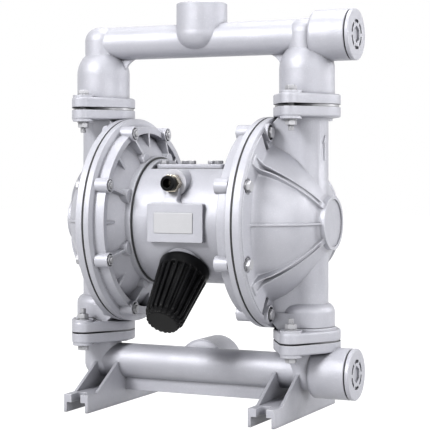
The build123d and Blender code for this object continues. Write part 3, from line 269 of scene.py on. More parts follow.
silver_coat = metal("silver_coat", silver, silver_dark, silver_bare_and_highlight, metallic=0.3, rough=0.42,
                    grain=grain_size, height=0.0006, painted_shade=0.95)
dress(silver_coat, "suction_manifold")

# Ball valves. Each joint between a cap and a manifold holds a turned aluminium seat with a
# rubber ring and a rubber ball, which lifts as the pump draws or delivers.
turned = metal("turned_aluminium", (0.42, 0.42, 0.44, 1), (0.32, 0.32, 0.34, 1),
               (0.7, 0.7, 0.72, 1), metallic=0.6, rough=0.35, grain=0.0006, height=0.0001,
               painted_shade=1.0)


def rubber(name, colour, rough):
    """Moulded rubber: dull, with faint pale blooming in patches, and paler edges that are partly blooming
    and partly painted highlight.
    """
    material, tree, shader = new_material(name)
    edges = use_group(tree, edge_group, Edge_width=0.0008)
    skin = use_group(tree, grain_group, Grain_size=0.0009, Patch_size=0.012)
    pale_bloom_and_highlight = [min(1, c * 2.2 + 0.012) for c in colour[:3]] + [1]
    tone = tint(tree, colour, skin.outputs["Patch"], 0.35, pale_bloom_and_highlight)
    # Paler edges: partly blooming, partly painted highlight.
    tone = tint(tree, tone, edges.outputs["Edge"], 0.4, pale_bloom_and_highlight)
    tree.links.new(tone, shader.inputs["Base Color"])
    finish_surface(tree, shader, edges, skin, rough, spread=0.15, strength=0.3, height=0.0002)
    return material


black_rubber = rubber("black_rubber", (0.02, 0.02, 0.021, 1), 0.55)
dress(turned, "suction_seats", "discharge_seats")
dress(black_rubber, "suction_seat_rings", "discharge_seat_rings", "left_suction_ball",
      "right_suction_ball", "left_discharge_ball", "right_discharge_ball")

# Fluid caps and air caps. Two cast aluminium covers clamp each diaphragm: outside, a ribbed
# dome with the flow tube, and inside, a ribbed bowl. The dome, its grooved ribs and the band
# between the bolts are one skin here, joined to the CAD solid.
shaft_z = 252.0
ring_x = 117.5
cap_bolt_circle = 126.5
cap_bolt_turns = np.radians(22.5 + 45 * np.arange(8))
cap_bolt_hole = 4.5
hole_run = (100.0, 125.0)
dome_arc = ((117.5, 106.5), (160.5, 74.0), (180.5, 35.0))
dome_foot_r = 112.0
cast_fillet = 7.0
boss_lip = (2.4, 35.0, 38.5)
skin_runs = ((34.0, 104.0, 34), (104.8, 135.6, 40))
skin_angle = 0.4
skin_lift = 0.05
skin_under = (135.6, 112.0, 106.0, 100.0, 90.0, 75.0, 60.0, 45.0, 34.0)
skin_walls = (3.0, 2.5)
clamp_edge_r = 106.0
soft_edge = 0.5
far_off = 99.0
band_top_x = 119.1
band_edge = (133.9, 135.0)
band_ends = (57.6, 58.2)
recess_r = 9.8
rib_angles = (39.5, 140.5, 219.5, 320.5)
rib_start_r = 130.5
rib_curl = ((119.7, 130.5), (123.2, 117.5), (131.5, 109.5))
rib_back = ((131.5, 109.5), (160.8, 77.5), (182.5, 40.0))
rib_widths = (4.5, 8.5)
rib_flare = (100.0, 131.0)
rib_extra = 1.7
rib_sides = (-0.5, 0.6)
rib_skirt = (0.16, 1.6, 30.0)
groove_wall = 2.2
groove_sides = (-0.9, 0.1)
groove_share = 0.6
groove_start = (125.0, 127.0)
groove_end = (40.5, 43.0)
side_rib = (1.6, 4.4)
side_rib_end = (105.0, 112.0)
grid_widening = 1.7
rib_grid = (8.0, 19.0)
side_rib_grid = (1.92, 4.0, 12.0)
hook_section = ((9.8, 116.5), (9.8, 121.0), (10.3, 121.5), (11.3, 121.5), (11.8, 121.0),
                (11.8, 116.5))
hook_gap = 40.0
pocket_x = (113.0, 125.0)
pocket_angles = (58.0, 62.0, 64.5)
pocket_radii = (133.0, 107.5)
pocket_corner = 1.6
flow_tube_x = 152.0
flow_tube_r = 28.0
passage = ((31.4, 113.0), (31.4, 134.5), (20.4, 145.5), (20.4, 395.0))
upper_collar = ((27, 389.5), (32, 389.5), (32, 389), (29.2, 387.8), (28, 385), (27, 385))
lower_collar = ((35.4, 113.7), (40.4, 113.7), (40.4, 114.2), (37.6, 115.4), (36.4, 118.2),
                (35.4, 118.2))
weld = 1e-6
room_radii = (35.6, 106.4, 106.9, 126.0)
room_sink = 0.7
room_lift = 0.02
room_top_x = 196.0
room_start, room_sweep = 37.5, 15.0
arrow_span = 13.5
arrow_run = (329.5, 370.5)
arrow_foot = 333.0
arrow_head = (354.0, 367.0)
arrow_lap = 2.0
arrow_half = 2.0
arrow_slope = 2.7
arrow_rise = 1.4
arrow_sink = 0.35
arrow_back = 1.5
arrow_edge = (-0.15, 0.75)
arrow_turn = -14.0


def grid_faces(rows, columns, closed_rows):
    """Quads of a grid whose rows are loops; flat ends unless its rows close on each other."""
    index = np.arange(rows * columns).reshape(rows, columns)
    upper = np.roll(index, -1, axis=0)
    count = rows if closed_rows else rows - 1
    quads = np.stack([index, np.roll(index, -1, 1), np.roll(upper, -1, 1), upper], axis=-1)
    faces = quads[:count].reshape(-1, 4).tolist()
    return faces if closed_rows else faces + [index[0, ::-1].tolist(), index[-1].tolist()]


def mesh_of(name, grids, closed_rows=False):
    """One mesh of several equal grids in millimetres, shape (copies, rows, columns, 3). Its
    faces are turned outwards where the sum of v0 . (v1 x v2) over them is negative."""
    grids = np.asarray(grids, float)
    copies, rows, columns = grids.shape[:3]
    faces = grid_faces(rows, columns, closed_rows)
    first = grids[0].reshape(-1, 3)
    first = first - first.mean(0)
    quads = first[np.array([f for f in faces if len(f) == 4])]
    volume = np.einsum("ij,ij->", quads[:, 0], np.cross(quads[:, 1], quads[:, 2]))
    volume += np.einsum("ij,ij->", quads[:, 0], np.cross(quads[:, 2], quads[:, 3]))
    if volume < 0:
        faces = [f[::-1] for f in faces]
    each = rows * columns
    everything = [[i + each * k for i in f] for k in range(copies) for f in faces]
    mesh = bpy.data.meshes.new(name)
    mesh.from_pydata((grids.reshape(-1, 3) / 1000).tolist(), [], everything)
    return mesh


def piece(name, mesh, material, sharp=35.0, body="housing"):
    """A new piece: its object, finish, slot and body, smooth up to an angle."""
    made = bpy.data.objects.new(name, mesh)
    bpy.context.scene.collection.objects.link(made)
    mesh.polygons.foreach_set("use_smooth", [True] * len(mesh.polygons))
    mesh.set_sharp_from_angle(angle=radians(sharp))
    mesh.materials.clear()
    mesh.materials.append(material)
    if body:
        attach(made, body)
    return made


def on_circle(r, points):
    """X of the circle through three (x, r) points, at radius r, on the middle point's side."""
    (ax, ay), (bx, by), (cx, cy) = points
    d = 2 * (ax * (by - cy) + bx * (cy - ay) + cx * (ay - by))
    a2, b2, c2 = ax * ax + ay * ay, bx * bx + by * by, cx * cx + cy * cy
    x = (a2 * (by - cy) + b2 * (cy - ay) + c2 * (ay - by)) / d
    y = (a2 * (cx - bx) + b2 * (ax - cx) + c2 * (bx - ax)) / d
    side = 1 if bx > x else -1
    return x + side * np.sqrt(np.maximum((ax - x) ** 2 + (ay - y) ** 2 - (r - y) ** 2, 0))


def step(value, low, high):
    """0 below low, 1 above high and 3t^2 - 2t^3 between them."""
    t = np.clip((value - low) / (high - low), 0, 1)
    return t * t * (3 - 2 * t)


def soft_max(a, b, k):
    """The larger of two heights, rounded by k/4 where they meet."""
    h = np.maximum(k - np.abs(a - b), 0) / k
    return np.maximum(a, b) + h * h * k / 4


def bring(angles, radius, middle, half_width, inner, outer):
    """Grid angles moved towards a rib: those nearer than inner fill its widened half width
    evenly, as asin(width / radius), and those up to outer close the gap behind them."""
    away = (angles - middle + 180) % 360 - 180
    wide = grid_widening * half_width / radius
    edge = np.degrees(np.arcsin(np.clip(wide, 0, 0.9)))
    near = np.degrees(np.arcsin(np.clip(away / inner * wide, -0.9, 0.9)))
    share = np.clip((np.abs(away) - inner) / (outer - inner), 0, 1)
    far = np.sign(away) * ((1 - share) * edge + share * outer)
    moved = np.where(np.abs(away) < inner, near, np.where(np.abs(away) < outer, far, away))
    return angles + moved - away


def rib_shares(r, angle, middle, half_width):
    """How far the skin rises to the crest: 1 on a rib's two walls, less on the groove's floor
    between them, and an exponential skirt outside."""
    away = np.radians((angle - middle + 180) % 360 - 180)
    across = np.where(np.cos(away) > 0, np.abs(r * np.sin(away)), far_off)
    wall = 1 - step(across, half_width + rib_sides[0], half_width + rib_sides[1])
    inner = half_width - groove_wall
    groove = 1 - step(across, inner + groove_sides[0], inner + groove_sides[1])
    ends = np.clip(step(r, *groove_start) + 1 - step(r, *groove_end), 0, 1)
    share, run, limit = rib_skirt
    skirt = share * np.exp(-np.maximum(across - half_width, 0) / run) * (across < limit)
    return np.maximum(wall * (1 - groove_share * groove * (1 - ends)), skirt)


def cap_skin():
    """The dome's skin on a polar grid about the cap's axis. Its height is the dome's arc, joined
    softly to the ring, then the band between the bolts, the grooved ribs up to a crest line of
    two circles, and the thin side ribs. Its last rows are the plain inside."""
    radii = np.concatenate([np.linspace(*run) for run in skin_runs])
    r, angle = np.meshgrid(radii, np.arange(0, 360, skin_angle), indexing="ij")
    flare = rib_widths[0] + (rib_widths[1] - rib_widths[0]) * step(r, *rib_flare)
    for middle in rib_angles:
        angle = bring(angle, r, middle, flare, *rib_grid)
    for middle in (0, 180):
        angle = bring(angle, r, middle, *side_rib_grid)
    turn = np.radians(angle)
    y, z = r * np.cos(turn), r * np.sin(turn)

    front = np.abs((angle + 90) % 180 - 90)
    raised = (1 - step(r, *band_edge)) * (1 - step(front, *band_ends))
    for place in cap_bolt_turns:
        gap = np.hypot(y - cap_bolt_circle * np.cos(place), z - cap_bolt_circle * np.sin(place))
        raised = raised * step(gap, recess_r - soft_edge, recess_r + soft_edge)
    flat = ring_x + skin_lift + (band_top_x - ring_x) * raised
    dome = np.where(r < dome_foot_r, on_circle(np.minimum(r, dome_foot_r), dome_arc), 0)
    lip, *lip_run = boss_lip
    height = soft_max(flat, dome, cast_fillet) + lip * (1 - step(r, *lip_run)) ** 2

    crest = np.where(r > rib_curl[2][1], on_circle(r, rib_curl), on_circle(r, rib_back))
    crest = np.where(r > rib_start_r, 0, crest + rib_extra)
    for middle in rib_angles:
        height = height + np.maximum(crest - height, 0) * rib_shares(r, angle, middle, flare)
    across = np.where(np.abs(np.cos(turn)) > 0.5, np.abs(z), far_off)
    side_wall = 1 - step(across, side_rib[0] - soft_edge, side_rib[0] + soft_edge)
    height = height + side_rib[1] * side_wall * (1 - step(r, *side_rib_end))

    under = np.array(skin_under)
    arc = on_circle(np.minimum(under, clamp_edge_r), dome_arc) - skin_walls[0]
    inside = np.where(under > clamp_edge_r, 0, arc)
    inside = np.maximum(inside, ring_x - skin_walls[1])
    turns = turn[np.abs(under[:, None] - radii).argmin(axis=1)]
    low = np.stack([inside[:, None] + 0 * turns, under[:, None] * np.cos(turns),
                    under[:, None] * np.sin(turns)], axis=-1)
    return np.concatenate([np.stack([height, y, z], axis=-1), low]) + (0, 0, shaft_z)


def spun(profile, columns, sweep=tau, start=0.0):
    """Points of a (x, r) profile turned about the cap's axis, one row for each profile point."""
    x, r = np.array(profile, float).T[:, :, None]
    angle = start + np.arange(columns) * sweep / (columns if sweep == tau else columns - 1)
    return np.stack([x + 0 * angle, r * np.cos(angle), r * np.sin(angle) + shaft_z], axis=-1)


def upright(profile, columns):
    """Points of a (r, z) profile turned about the flow tube's axis."""
    r, z = np.array(profile, float).T[:, :, None]
    angle = np.arange(columns) * tau / columns
    return np.stack([flow_tube_x + r * np.cos(angle), r * np.sin(angle), z + 0 * angle], axis=-1)


def hooks():
    """The curved walls beside the bolts next to the tube: a section carried round each bolt."""
    radius, x = np.array(hook_section).T[:, None]
    turn = np.radians(np.linspace(hook_gap, 360 - hook_gap, 40))[:, None]
    made = []
    for side in (-1, 1):
        for up in (-1, 1):
            y = side * (cap_bolt_circle * sin(cap_bolt_turns[0]) - radius * np.cos(turn))
            z = up * cap_bolt_circle * cos(cap_bolt_turns[0]) + radius * np.sin(turn)
            made.append(np.stack([x + 0 * turn, y, z + shaft_z], axis=-1))
    return made


def pockets():
    """Prisms of the cast pockets beside the hooks, each corner rounded by the curve
    (1-t)^2 before + 2t(1-t) corner + t^2 after."""
    out, deep = pocket_radii
    first, second, last = np.radians(pocket_angles)
    corners = [(out, first), (out, second), (deep, last), (deep, (first + second) / 2)]
    corners = np.array([(r * cos(a), r * sin(a)) for r, a in corners])
    before, after = np.roll(corners, 1, 0) - corners, np.roll(corners, -1, 0) - corners
    before = corners + before * pocket_corner / np.linalg.norm(before, axis=1)[:, None]
    after = corners + after * pocket_corner / np.linalg.norm(after, axis=1)[:, None]
    t = np.linspace(0, 1, 5)[None, :, None]
    loop = ((1 - t) ** 2 * before[:, None] + 2 * t * (1 - t) * corners[:, None]
            + t * t * after[:, None]).reshape(-1, 2)
    return [[[(x, side * y, up * z + shaft_z) for y, z in loop[::side * up]] for x in pocket_x]
            for side in (-1, 1) for up in (-1, 1)]


def bolt_holes():
    """Bars through the eight bolt holes of the ring."""
    turn = np.arange(20) * tau / 20
    made = []
    for place in cap_bolt_turns:
        y = cap_bolt_circle * cos(place) + cap_bolt_hole * np.cos(turn)
        z = cap_bolt_circle * sin(place) + cap_bolt_hole * np.sin(turn) + shaft_z
        made.append(np.stack([np.stack([0 * y + x, y, z], axis=-1) for x in hole_run]))
    return made


def join(name, parts):
    """One mesh of several (grids, closed rows) groups."""
    whole = bmesh.new()
    for grids, closed in parts:
        one = mesh_of(name, grids, closed)
        whole.from_mesh(one)
        bpy.data.meshes.remove(one)
    mesh = bpy.data.meshes.new(name)
    whole.to_mesh(mesh)
    whole.free()
    return mesh


def carve(target, tool_mesh, operation):
    """The target's mesh after a boolean with a closed tool mesh."""
    tool = bpy.data.objects.new("tool", tool_mesh)
    bpy.context.scene.collection.objects.link(tool)
    made = bpy.data.objects.new("made", target)
    bpy.context.scene.collection.objects.link(made)
    cut = made.modifiers.new("cut", "BOOLEAN")
    cut.object, cut.operation, cut.solver = tool, operation, "MANIFOLD"
    bpy.context.view_layer.update()
    result = bpy.data.meshes.new_from_object(
        made.evaluated_get(bpy.context.evaluated_depsgraph_get()))
    for scrap, mesh in ((tool, tool_mesh), (made, target)):
        bpy.data.objects.remove(scrap)
        bpy.data.meshes.remove(mesh)
    return result


def cap_mesh():
    """The right fluid cap: the CAD solid less its own ribs, joined to the skin, the hooks and
    the collars, then cut by the pockets and the bolt holes."""
    base = bmesh.new()
    base.from_mesh(nodes["right_fluid_cap"].data)
    bmesh.ops.remove_doubles(base, verts=base.verts, dist=weld)
    mesh = bpy.data.meshes.new("fluid_cap")
    base.to_mesh(mesh)
    base.free()
    for stored in [a for a in mesh.attributes if a.name == "custom_normal"]:
        mesh.attributes.remove(stored)

    # The old ribs' room, over the dome and the ring in four sectors.
    dome_in, dome_out, ring_in, ring_out = room_radii
    r = np.linspace(dome_in, dome_out, 30)
    arc = list(zip(on_circle(r, dome_arc) - room_sink, r))
    sector = arc + [(ring_x + room_lift, ring_in), (ring_x + room_lift, ring_out),
                    (room_top_x, ring_out), (room_top_x, dome_in)]
    rooms = [np.swapaxes(spun(sector, 12, radians(room_sweep), radians(room_start + 90 * k)), 0, 1)
             for k in range(4)]
    mesh = carve(mesh, mesh_of("room", rooms), "DIFFERENCE")

    # The skin, opened for the flow passage and the ball's room.
    skin = carve(mesh_of("skin", [cap_skin()], True),
                 mesh_of("passage", [upright(passage, 64)]), "DIFFERENCE")
    mesh = carve(mesh, skin, "UNION")
    collars = [upright(upper_collar, 64), upright(lower_collar, 64)]
    mesh = carve(mesh, join("added", [(hooks(), False), (collars, True)]), "UNION")
    return carve(mesh, join("holes", [(pockets(), False), (bolt_holes(), False)]), "DIFFERENCE")


def flow_arrow():
    """A raised arrow on the flow tube's outer side, on a grid of angle and height: the tube's
    surface and a rise wherever the distance inside the arrow's outline is over zero."""
    turn, z = np.meshgrid(np.linspace(-arrow_span, arrow_span, 90), np.linspace(*arrow_run, 130))
    across = np.abs(np.radians(turn) * flow_tube_r)
    head = np.minimum(arrow_head[1] - z - across * arrow_slope, z - arrow_head[0])
    shaft = np.minimum(arrow_half - across,
                       np.minimum(z - arrow_foot, arrow_head[0] + arrow_lap - z))
    rise = step(np.maximum(head / np.hypot(1, arrow_slope), shaft), *arrow_edge)
    radius = flow_tube_r - arrow_sink + (arrow_rise + arrow_sink) * rise
    angle = np.radians(turn + arrow_turn)
    outer = np.stack([flow_tube_x + radius * np.cos(angle), radius * np.sin(angle), z], axis=-1)
    inner = outer[:, ::-1].copy()
    inner[..., 0] = flow_tube_x + (flow_tube_r - arrow_back) * np.cos(angle[:, ::-1])
    inner[..., 1] = (flow_tube_r - arrow_back) * np.sin(angle[:, ::-1])
    return np.concatenate([outer, inner], axis=1)


def both_sides(kind, mesh, sharp):
    """A casting's right piece, and its left one half a turn round the pump's upright axis."""
    left_mesh = mesh.copy()
    left_mesh.transform(Matrix.Rotation(pi, 4, "Z"))
    return [piece(side + kind, made, silver_coat, sharp)
            for side, made in (("right_", mesh), ("left_", left_mesh))]


both_sides("flow_arrow", mesh_of("arrow", [flow_arrow()]), 60)
right_cap, left_cap = both_sides("fluid_cap_casting", cap_mesh(), 35)
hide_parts("right_fluid_cap")
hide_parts("left_fluid_cap")
dress(silver_coat, "left_air_cap", "right_air_cap")

# Diaphragms and their plates. Moulded rubber discs show only at their rims, between the caps.
# Aluminium plates and a steel bolt clamp each centre to the shaft, so the disc bends with it.
disc_faces = (104.0, 107.0)
disc_radii = (6.5, 74.0, 100.0, 137.5)
fold_crown = 10.4
sectors = 8
clamp_r = 106.5
plate_lap = 2.0


def disc_sector(middle):
    """One sector of the disc: its outline, with the fold as a circle's arc through its crown,
    carried round the axis. Two sectors meet where r cos(half a sector) is the same for both
    blends, so they stay together."""
    hole, fold_in, fold_out, rim = disc_radii
    crown = (fold_in + fold_out) / 2
    fold = np.linspace(fold_in, fold_out, 17)
    bulge = on_circle(fold, ((0.0, fold_in), (fold_crown, crown), (0.0, fold_out)))
    flat = np.concatenate([np.linspace(hole, fold_in, 10)[:-1], fold,
                           np.linspace(fold_out, rim, 8)[1:]])
    rise = np.interp(flat, fold, bulge) * (flat > fold_in) * (flat < fold_out)
    loop = [(disc_faces[1] + x, r) for x, r in zip(rise, flat)]
    loop += [(disc_faces[0] + x, r) for x, r in zip(rise[::-1], flat[::-1])]
    sweep = tau / sectors
    return np.swapaxes(spun(loop, 13, sweep=sweep, start=middle - sweep / 2), 0, 1)


shaft_place = Vector((0, 0, shaft_z / 1000))
for side, turn_round in (("right", Matrix()), ("left", Matrix.Rotation(pi, 4, "Z"))):
    for k in range(sectors):
        middle = tau * k / sectors
        mesh = carve(mesh_of("disc", [disc_sector(middle)]), mesh_of("holes", bolt_holes()),
                     "DIFFERENCE")
        mesh.transform(turn_round)
        sector = piece(f"{side}_diaphragm_sector_{k + 1}", mesh, black_rubber,
                       body=None)
        start, end = [
            shaft_place + turn_round @ Vector((0, r * cos(middle), r * sin(middle))) / 1000
            for r in (clamp_r * cos(pi / sectors), disc_radii[1] - plate_lap)]
        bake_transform(sector, "housing", "shaft_assembly", start, end)
        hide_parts(f"{side}_diaphragm")
dress(black_rubber, "left_hub_gasket", "right_hub_gasket", "shaft_seals", "spool_seals",
      "plug_rings")
dress(turned, "left_inner_plate", "right_inner_plate", "left_outer_plate", "right_outer_plate")
bright_steel = metal("bright_steel", (0.6, 0.6, 0.61, 1), (0.52, 0.52, 0.53, 1),
                     (0.75, 0.75, 0.76, 1), metallic=1.0, rough=0.18, grain=0.0005,
                     height=0.00003)
dress(bright_steel, "diaphragm_shaft", "plate_bolts", "pilot_rod")

# Centre section. The air motor's casting carries the plate pad, the air inlet's boss and the
# exhaust boss, with a flat cover on a gasket over the air valve.
dress(silver_coat, "centre_body", "valve_cover")
dress(rubber("gasket_fibre", (0.17, 0.17, 0.18, 1), 0.7), "valve_cover_gasket")
inlet_x = -3.5
neck_half = 10.5
neck_flare = 7.0
neck_run = (273.0, 277.0, 285.0, 286.0, 298.0)
neck_front = (80.5, 87.9)
neck_root, neck_back = 70.0, 66.0
neck_margin = 1.5
neck_sides = (-2.2, 1.2)


def inlet_neck():
    """The neck under the air inlet's boss, on a grid of x and z: its front slopes from the boss
    out to the pad, and its sides widen into the pad by a quarter circle."""
    foot, pad_top, fine_top, rough_foot, top = neck_run
    z = np.concatenate([np.linspace(foot, fine_top, 26), np.linspace(rough_foot, top, 18)])
    up = np.clip(z - pad_top, 0, neck_flare)
    half = neck_half + neck_flare - np.sqrt(neck_flare ** 2 - (neck_flare - up) ** 2)
    x = inlet_x + np.linspace(-1, 1, 41) * (half[:, None] + neck_margin)
    slope = neck_front[1] + (neck_front[0] - neck_front[1]) * step(z, pad_top, top)[:, None]
    share = 1 - step(np.abs(x - inlet_x) - half[:, None], *neck_sides)
    y = -(neck_root + (slope - neck_root) * share)
    front = np.stack([x, y, z[:, None] + 0 * x], axis=-1)
    back = front[:, ::-1].copy()
    back[..., 1] = -neck_back
    return np.concatenate([front, back], axis=1)


piece("inlet_neck", mesh_of("neck", [inlet_neck()]), silver_coat, 60)
plate_metal = metal("plate_metal", (0.46, 0.46, 0.48, 1), (0.40, 0.40, 0.42, 1),
                    (0.7, 0.7, 0.72, 1), metallic=0.3, rough=0.4, grain=0.0005,
                    height=0.00003, painted_shade=0.4)
dress(plate_metal, "name_plate")
bronze = metal("bearing_bronze", (0.42, 0.25, 0.10, 1), (0.33, 0.19, 0.08, 1),
               (0.6, 0.4, 0.18, 1), metallic=1.0, rough=0.35, grain=0.0006, height=0.0001)
dress(bronze, "shaft_bushes", "pilot_bushes")
dress(turned, "main_valve_sleeve", "main_valve_spool", "valve_end_caps")

# Discharge casting. The top casting holds the pipe, two ball housings and the centre port.
# Both castings have a plug screwed into their right end, and a pipe thread cut in their port.
dress(silver_coat, "discharge_manifold", "discharge_end_plug", "suction_end_plug")
port_r = 22.5
thread_pitch = 2.309
thread_depth = 1.25
thread_run = (0.6, 1.0, 24.0, 24.4)
thread_start, thread_stop = (0.6, 2.4), (23.0, 24.0)
liner_skin = 0.1
port_columns = 72


def port_thread(mouth, along):
    """A pipe thread's turns inside a port: radius less a triangle wave of depth / pitch -
    angle / turn, with a plain back against the casting."""
    first, second, last, end = thread_run
    depth = np.concatenate([[first], np.arange(second, last, thread_pitch / 8), [end]])
    turn = np.arange(port_columns) * tau / port_columns
    wave = np.abs((depth[:, None] / thread_pitch - turn / tau) % 1 - 0.5) * 2
    fade = (step(depth, *thread_start) * (1 - step(depth, *thread_stop)))[:, None]
    front = port_r - liner_skin - thread_depth * wave * fade
    radius = np.concatenate([front, np.full((2, port_columns), port_r + liner_skin)])
    depth = np.concatenate([depth, depth[[-1, 0]]])[:, None, None]
    side = np.array((1.0, 0.0, 0.0))
    third = np.cross(along, side)
    spoke = np.cos(turn)[:, None] * side + np.sin(turn)[:, None] * third
    return np.array(mouth) - depth * np.array(along) + radius[..., None] * spoke


for name, mouth, along in (("discharge_port_thread", (0, 0, 545.0), (0.0, 0.0, 1.0)),
                           ("suction_port_thread", (0, 56.0, 57.6), (0.0, 1.0, 0.0))):
    piece(name, mesh_of(name, [port_thread(mouth, along)], True), silver_coat,
          60)

# Fasteners. Zinc-plated hex bolts, nuts and washers clamp the caps and the joints. The heads
# are forged with chamfered corners, and the bolts' ends show their rolled threads.
zinc = metal("bright_zinc", (0.40, 0.40, 0.42, 1), (0.29, 0.29, 0.31, 1), (0.7, 0.7, 0.71, 1),
             metallic=0.5, rough=0.42, grain=0.0007, height=0.00006, painted_shade=0.85, edge=0.0006)
dress(zinc, "suction_flange_washers", "discharge_flange_washers", "left_cap_washers",
      "right_cap_washers", "left_air_cap_screws", "right_air_cap_screws")
m8_flats = 13.0
m8_pitch = 1.25
m8_radius = 4.0
rolled_depth = 0.62
end_chamfer = 1.1
seat_share, seat_lip = 0.49, 0.25
flats_fall = 0.06
cone_rim, cone_width, cone_fall = 0.475, 0.102, 0.059
cone_shares = (0.75, 0.5, 0.25, 0.0)
crown_shares = (0.43, 0.3)
crown_dish = 0.12
nut_hole = 4.05
hole_chamfer = (0.6, 0.5)


def turned_hex(profile, columns=48, flats=m8_flats, pitch=m8_pitch):
    """Rows of a profile of (radius, height, thread depth) turned about Z. A radius is cut by
    the hexagon, flats / 2 / cos(angle from the flat's middle), and a row with a thread depth
    sinks by it times a triangle wave of height / pitch - angle / turn."""
    radius, height, depth = np.array(profile, float).T[:, :, None]
    turn = np.arange(columns) * tau / columns
    to_flat = (turn + pi / 6) % (pi / 3) - pi / 6
    radius = np.minimum(radius, flats / 2 / np.cos(to_flat))
    wave = np.abs((height / pitch - turn / tau) % 1 - 0.5) * 2
    radius = radius - depth * wave
    return np.stack([radius * np.cos(turn), radius * np.sin(turn), height + 0 * turn], axis=-1)


def head_profile(flats, height):
    """A hex head's rows from its seat up, its top corners cut by a 30 degree cone."""
    rows = [(flats * seat_share, 0, 0), (flats, seat_lip, 0),
            (flats, height - flats * flats_fall, 0)]
    for share in cone_shares:
        rows.append((flats * (cone_rim + cone_width * share),
                     height - flats * cone_fall * share, 0))
    return rows + [(flats * crown_shares[0], height, 0),
                   (flats * crown_shares[1], height - crown_dish, 0)]


def bolt_profile(flats, head, shank, threaded, radius=m8_radius, pitch=m8_pitch):
    """A hex bolt's rows, from its end up to its head's top. Its seat is at height 0."""
    rows = [(radius - end_chamfer, -shank, 0)]
    for height in np.arange(-shank + 0.5, -shank + threaded, pitch / 8):
        rows.append((radius, height, rolled_depth))
    rows += [(radius, -shank + threaded + 0.4, 0), (radius, -0.01, 0)]
    return rows + head_profile(flats, head)


def nut_profile(flats, height, hole):
    """A hex nut's rows, round its outside and back through its hole."""
    top = head_profile(flats, height)[:-1]
    under = [(r, height - z, 0) for r, z, _ in top[::-1]][:-2]
    middle = [row for row in top if row[1] > height / 2]
    out, deep = hole_chamfer
    return under[:6] + middle + [(hole + out, height, 0), (hole, height - deep, 0),
                                 (hole, deep, 0), (hole + out, 0, 0)]


def at_places(rows, places, direction):
    """Copies of upright rows (rows, columns, 3) at places, with their Z along a direction and
    each turned by a different angle about it."""
    along = np.array(direction, float)
    side = np.array((0.0, 1.0, 0.0)) if abs(along[1]) < 0.5 else np.array((1.0, 0.0, 0.0))
    third = np.cross(along, side)
    made = []
    for k, place in enumerate(places):
        turn = radians(37 * k + 11)
        u = side * cos(turn) + third * sin(turn)
        v = np.cross(along, u)
        made.append(rows[..., :1] * u + rows[..., 1:2] * v + rows[..., 2:] * along + place)
    return made


def fastener(name, profile, places, direction, closed=False, flats=m8_flats):
    """Equal fasteners as one piece, which stands for the node of the same name."""
    grids = at_places(turned_hex(profile, flats=flats), places, direction)
    made = piece("fitted_" + name, mesh_of(name, grids, closed), zinc, 30)
    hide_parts(name)


head_height = 5.3
nut_height = 6.5
washer_height = 1.6
cap_shank, cap_threaded = 46.6, 9.5
cap_seats = (119.1, 81.0)
joint_bolt_y = 56.0
joint_planes = (("discharge", 404.0, 2.0, 1), ("suction", 100.0, 1.2, -1))
flange_depth = 16.0
joint_tail = 7.0
joint_threaded = 15.0
cover_screw_z = 328.5
cover_screw_places = ((-40, 0, 40), (-31, 31))
cover_flats, cover_head = 10.0, 4.5
cover_shank, cover_threaded = 20.0, 12.0
m6_radius, m6_pitch = 3.0, 1.0
for side, name in ((1, "right"), (-1, "left")):
    bolts, nuts = [
        [(side * seat, side * cap_bolt_circle * cos(a), cap_bolt_circle * sin(a) + shaft_z)
         for a in cap_bolt_turns] for seat in cap_seats]
    fastener(name + "_cap_bolts",
             bolt_profile(m8_flats, head_height, cap_shank, cap_threaded), bolts, (side, 0, 0))
    fastener(name + "_cap_nuts", nut_profile(m8_flats, nut_height, nut_hole), nuts,
             (-side, 0, 0), True)

joints = [(x, y) for x in (-flow_tube_x, flow_tube_x) for y in (-joint_bolt_y, joint_bolt_y)]
for name, plane, half_gap, up in joint_planes:
    seat = half_gap + flange_depth + washer_height
    shank = 2 * seat + nut_height + joint_tail
    fastener(name + "_flange_bolts", bolt_profile(m8_flats, head_height, shank, joint_threaded),
             [(x, y, plane + up * seat) for x, y in joints], (0, 0, up))
    fastener(name + "_flange_nuts", nut_profile(m8_flats, nut_height, nut_hole),
             [(x, y, plane - up * seat) for x, y in joints], (0, 0, -up), True)

cover_bolt = bolt_profile(cover_flats, cover_head, cover_shank, cover_threaded, m6_radius,
                          m6_pitch)
fastener("valve_cover_screws", cover_bolt,
         [(x, y, cover_screw_z) for x in cover_screw_places[0] for y in cover_screw_places[1]],
         (0, 0, 1), flats=cover_flats)

# Air inlet. A fitting turned from brass and plated with nickel is screwed into the boss. Its
# moulded black collar grips the air tube, and lets it go when pressed in.
brass = metal("nickel_brass", (0.62, 0.57, 0.48, 1), (0.5, 0.44, 0.35, 1),
              (0.85, 0.82, 0.76, 1), metallic=1.0, rough=0.2, grain=0.0006, height=0.00005,
              edge=0.0006)
dress(brass, "inlet_fitting")


def plastic(name, colour, rough, grain=0.0007):
    """Moulded plastic: fine spark grain in patches, with paler edges that are partly scuffs and partly
    painted highlight.
    """
    material, tree, shader = new_material(name)
    edges = use_group(tree, edge_group, Edge_width=0.0009, Reach=0.01)
    skin = use_group(tree, grain_group, Grain_size=grain, Patch_size=0.02)
    shader.inputs["Specular IOR Level"].default_value = 0.1
    smeared = [c * 1.6 + 0.004 for c in colour[:3]] + [1]
    scuff_and_highlight = [c * 2.5 + 0.012 for c in colour[:3]] + [1]
    tone = tint(tree, colour, skin.outputs["Patch"], 0.3, smeared)
    # Paler edges: partly scuffs, partly painted highlight.
    tone = tint(tree, tone, edges.outputs["Edge"], 0.5, scuff_and_highlight)
    tree.links.new(tone, shader.inputs["Base Color"])
    finish_surface(tree, shader, edges, skin, rough, spread=0.12, strength=0.35,
                   height=0.00018)
    return material


black_plastic = plastic("black_plastic", (0.0022, 0.0022, 0.0026, 1), 0.3)
dress(black_plastic, "inlet_collar")

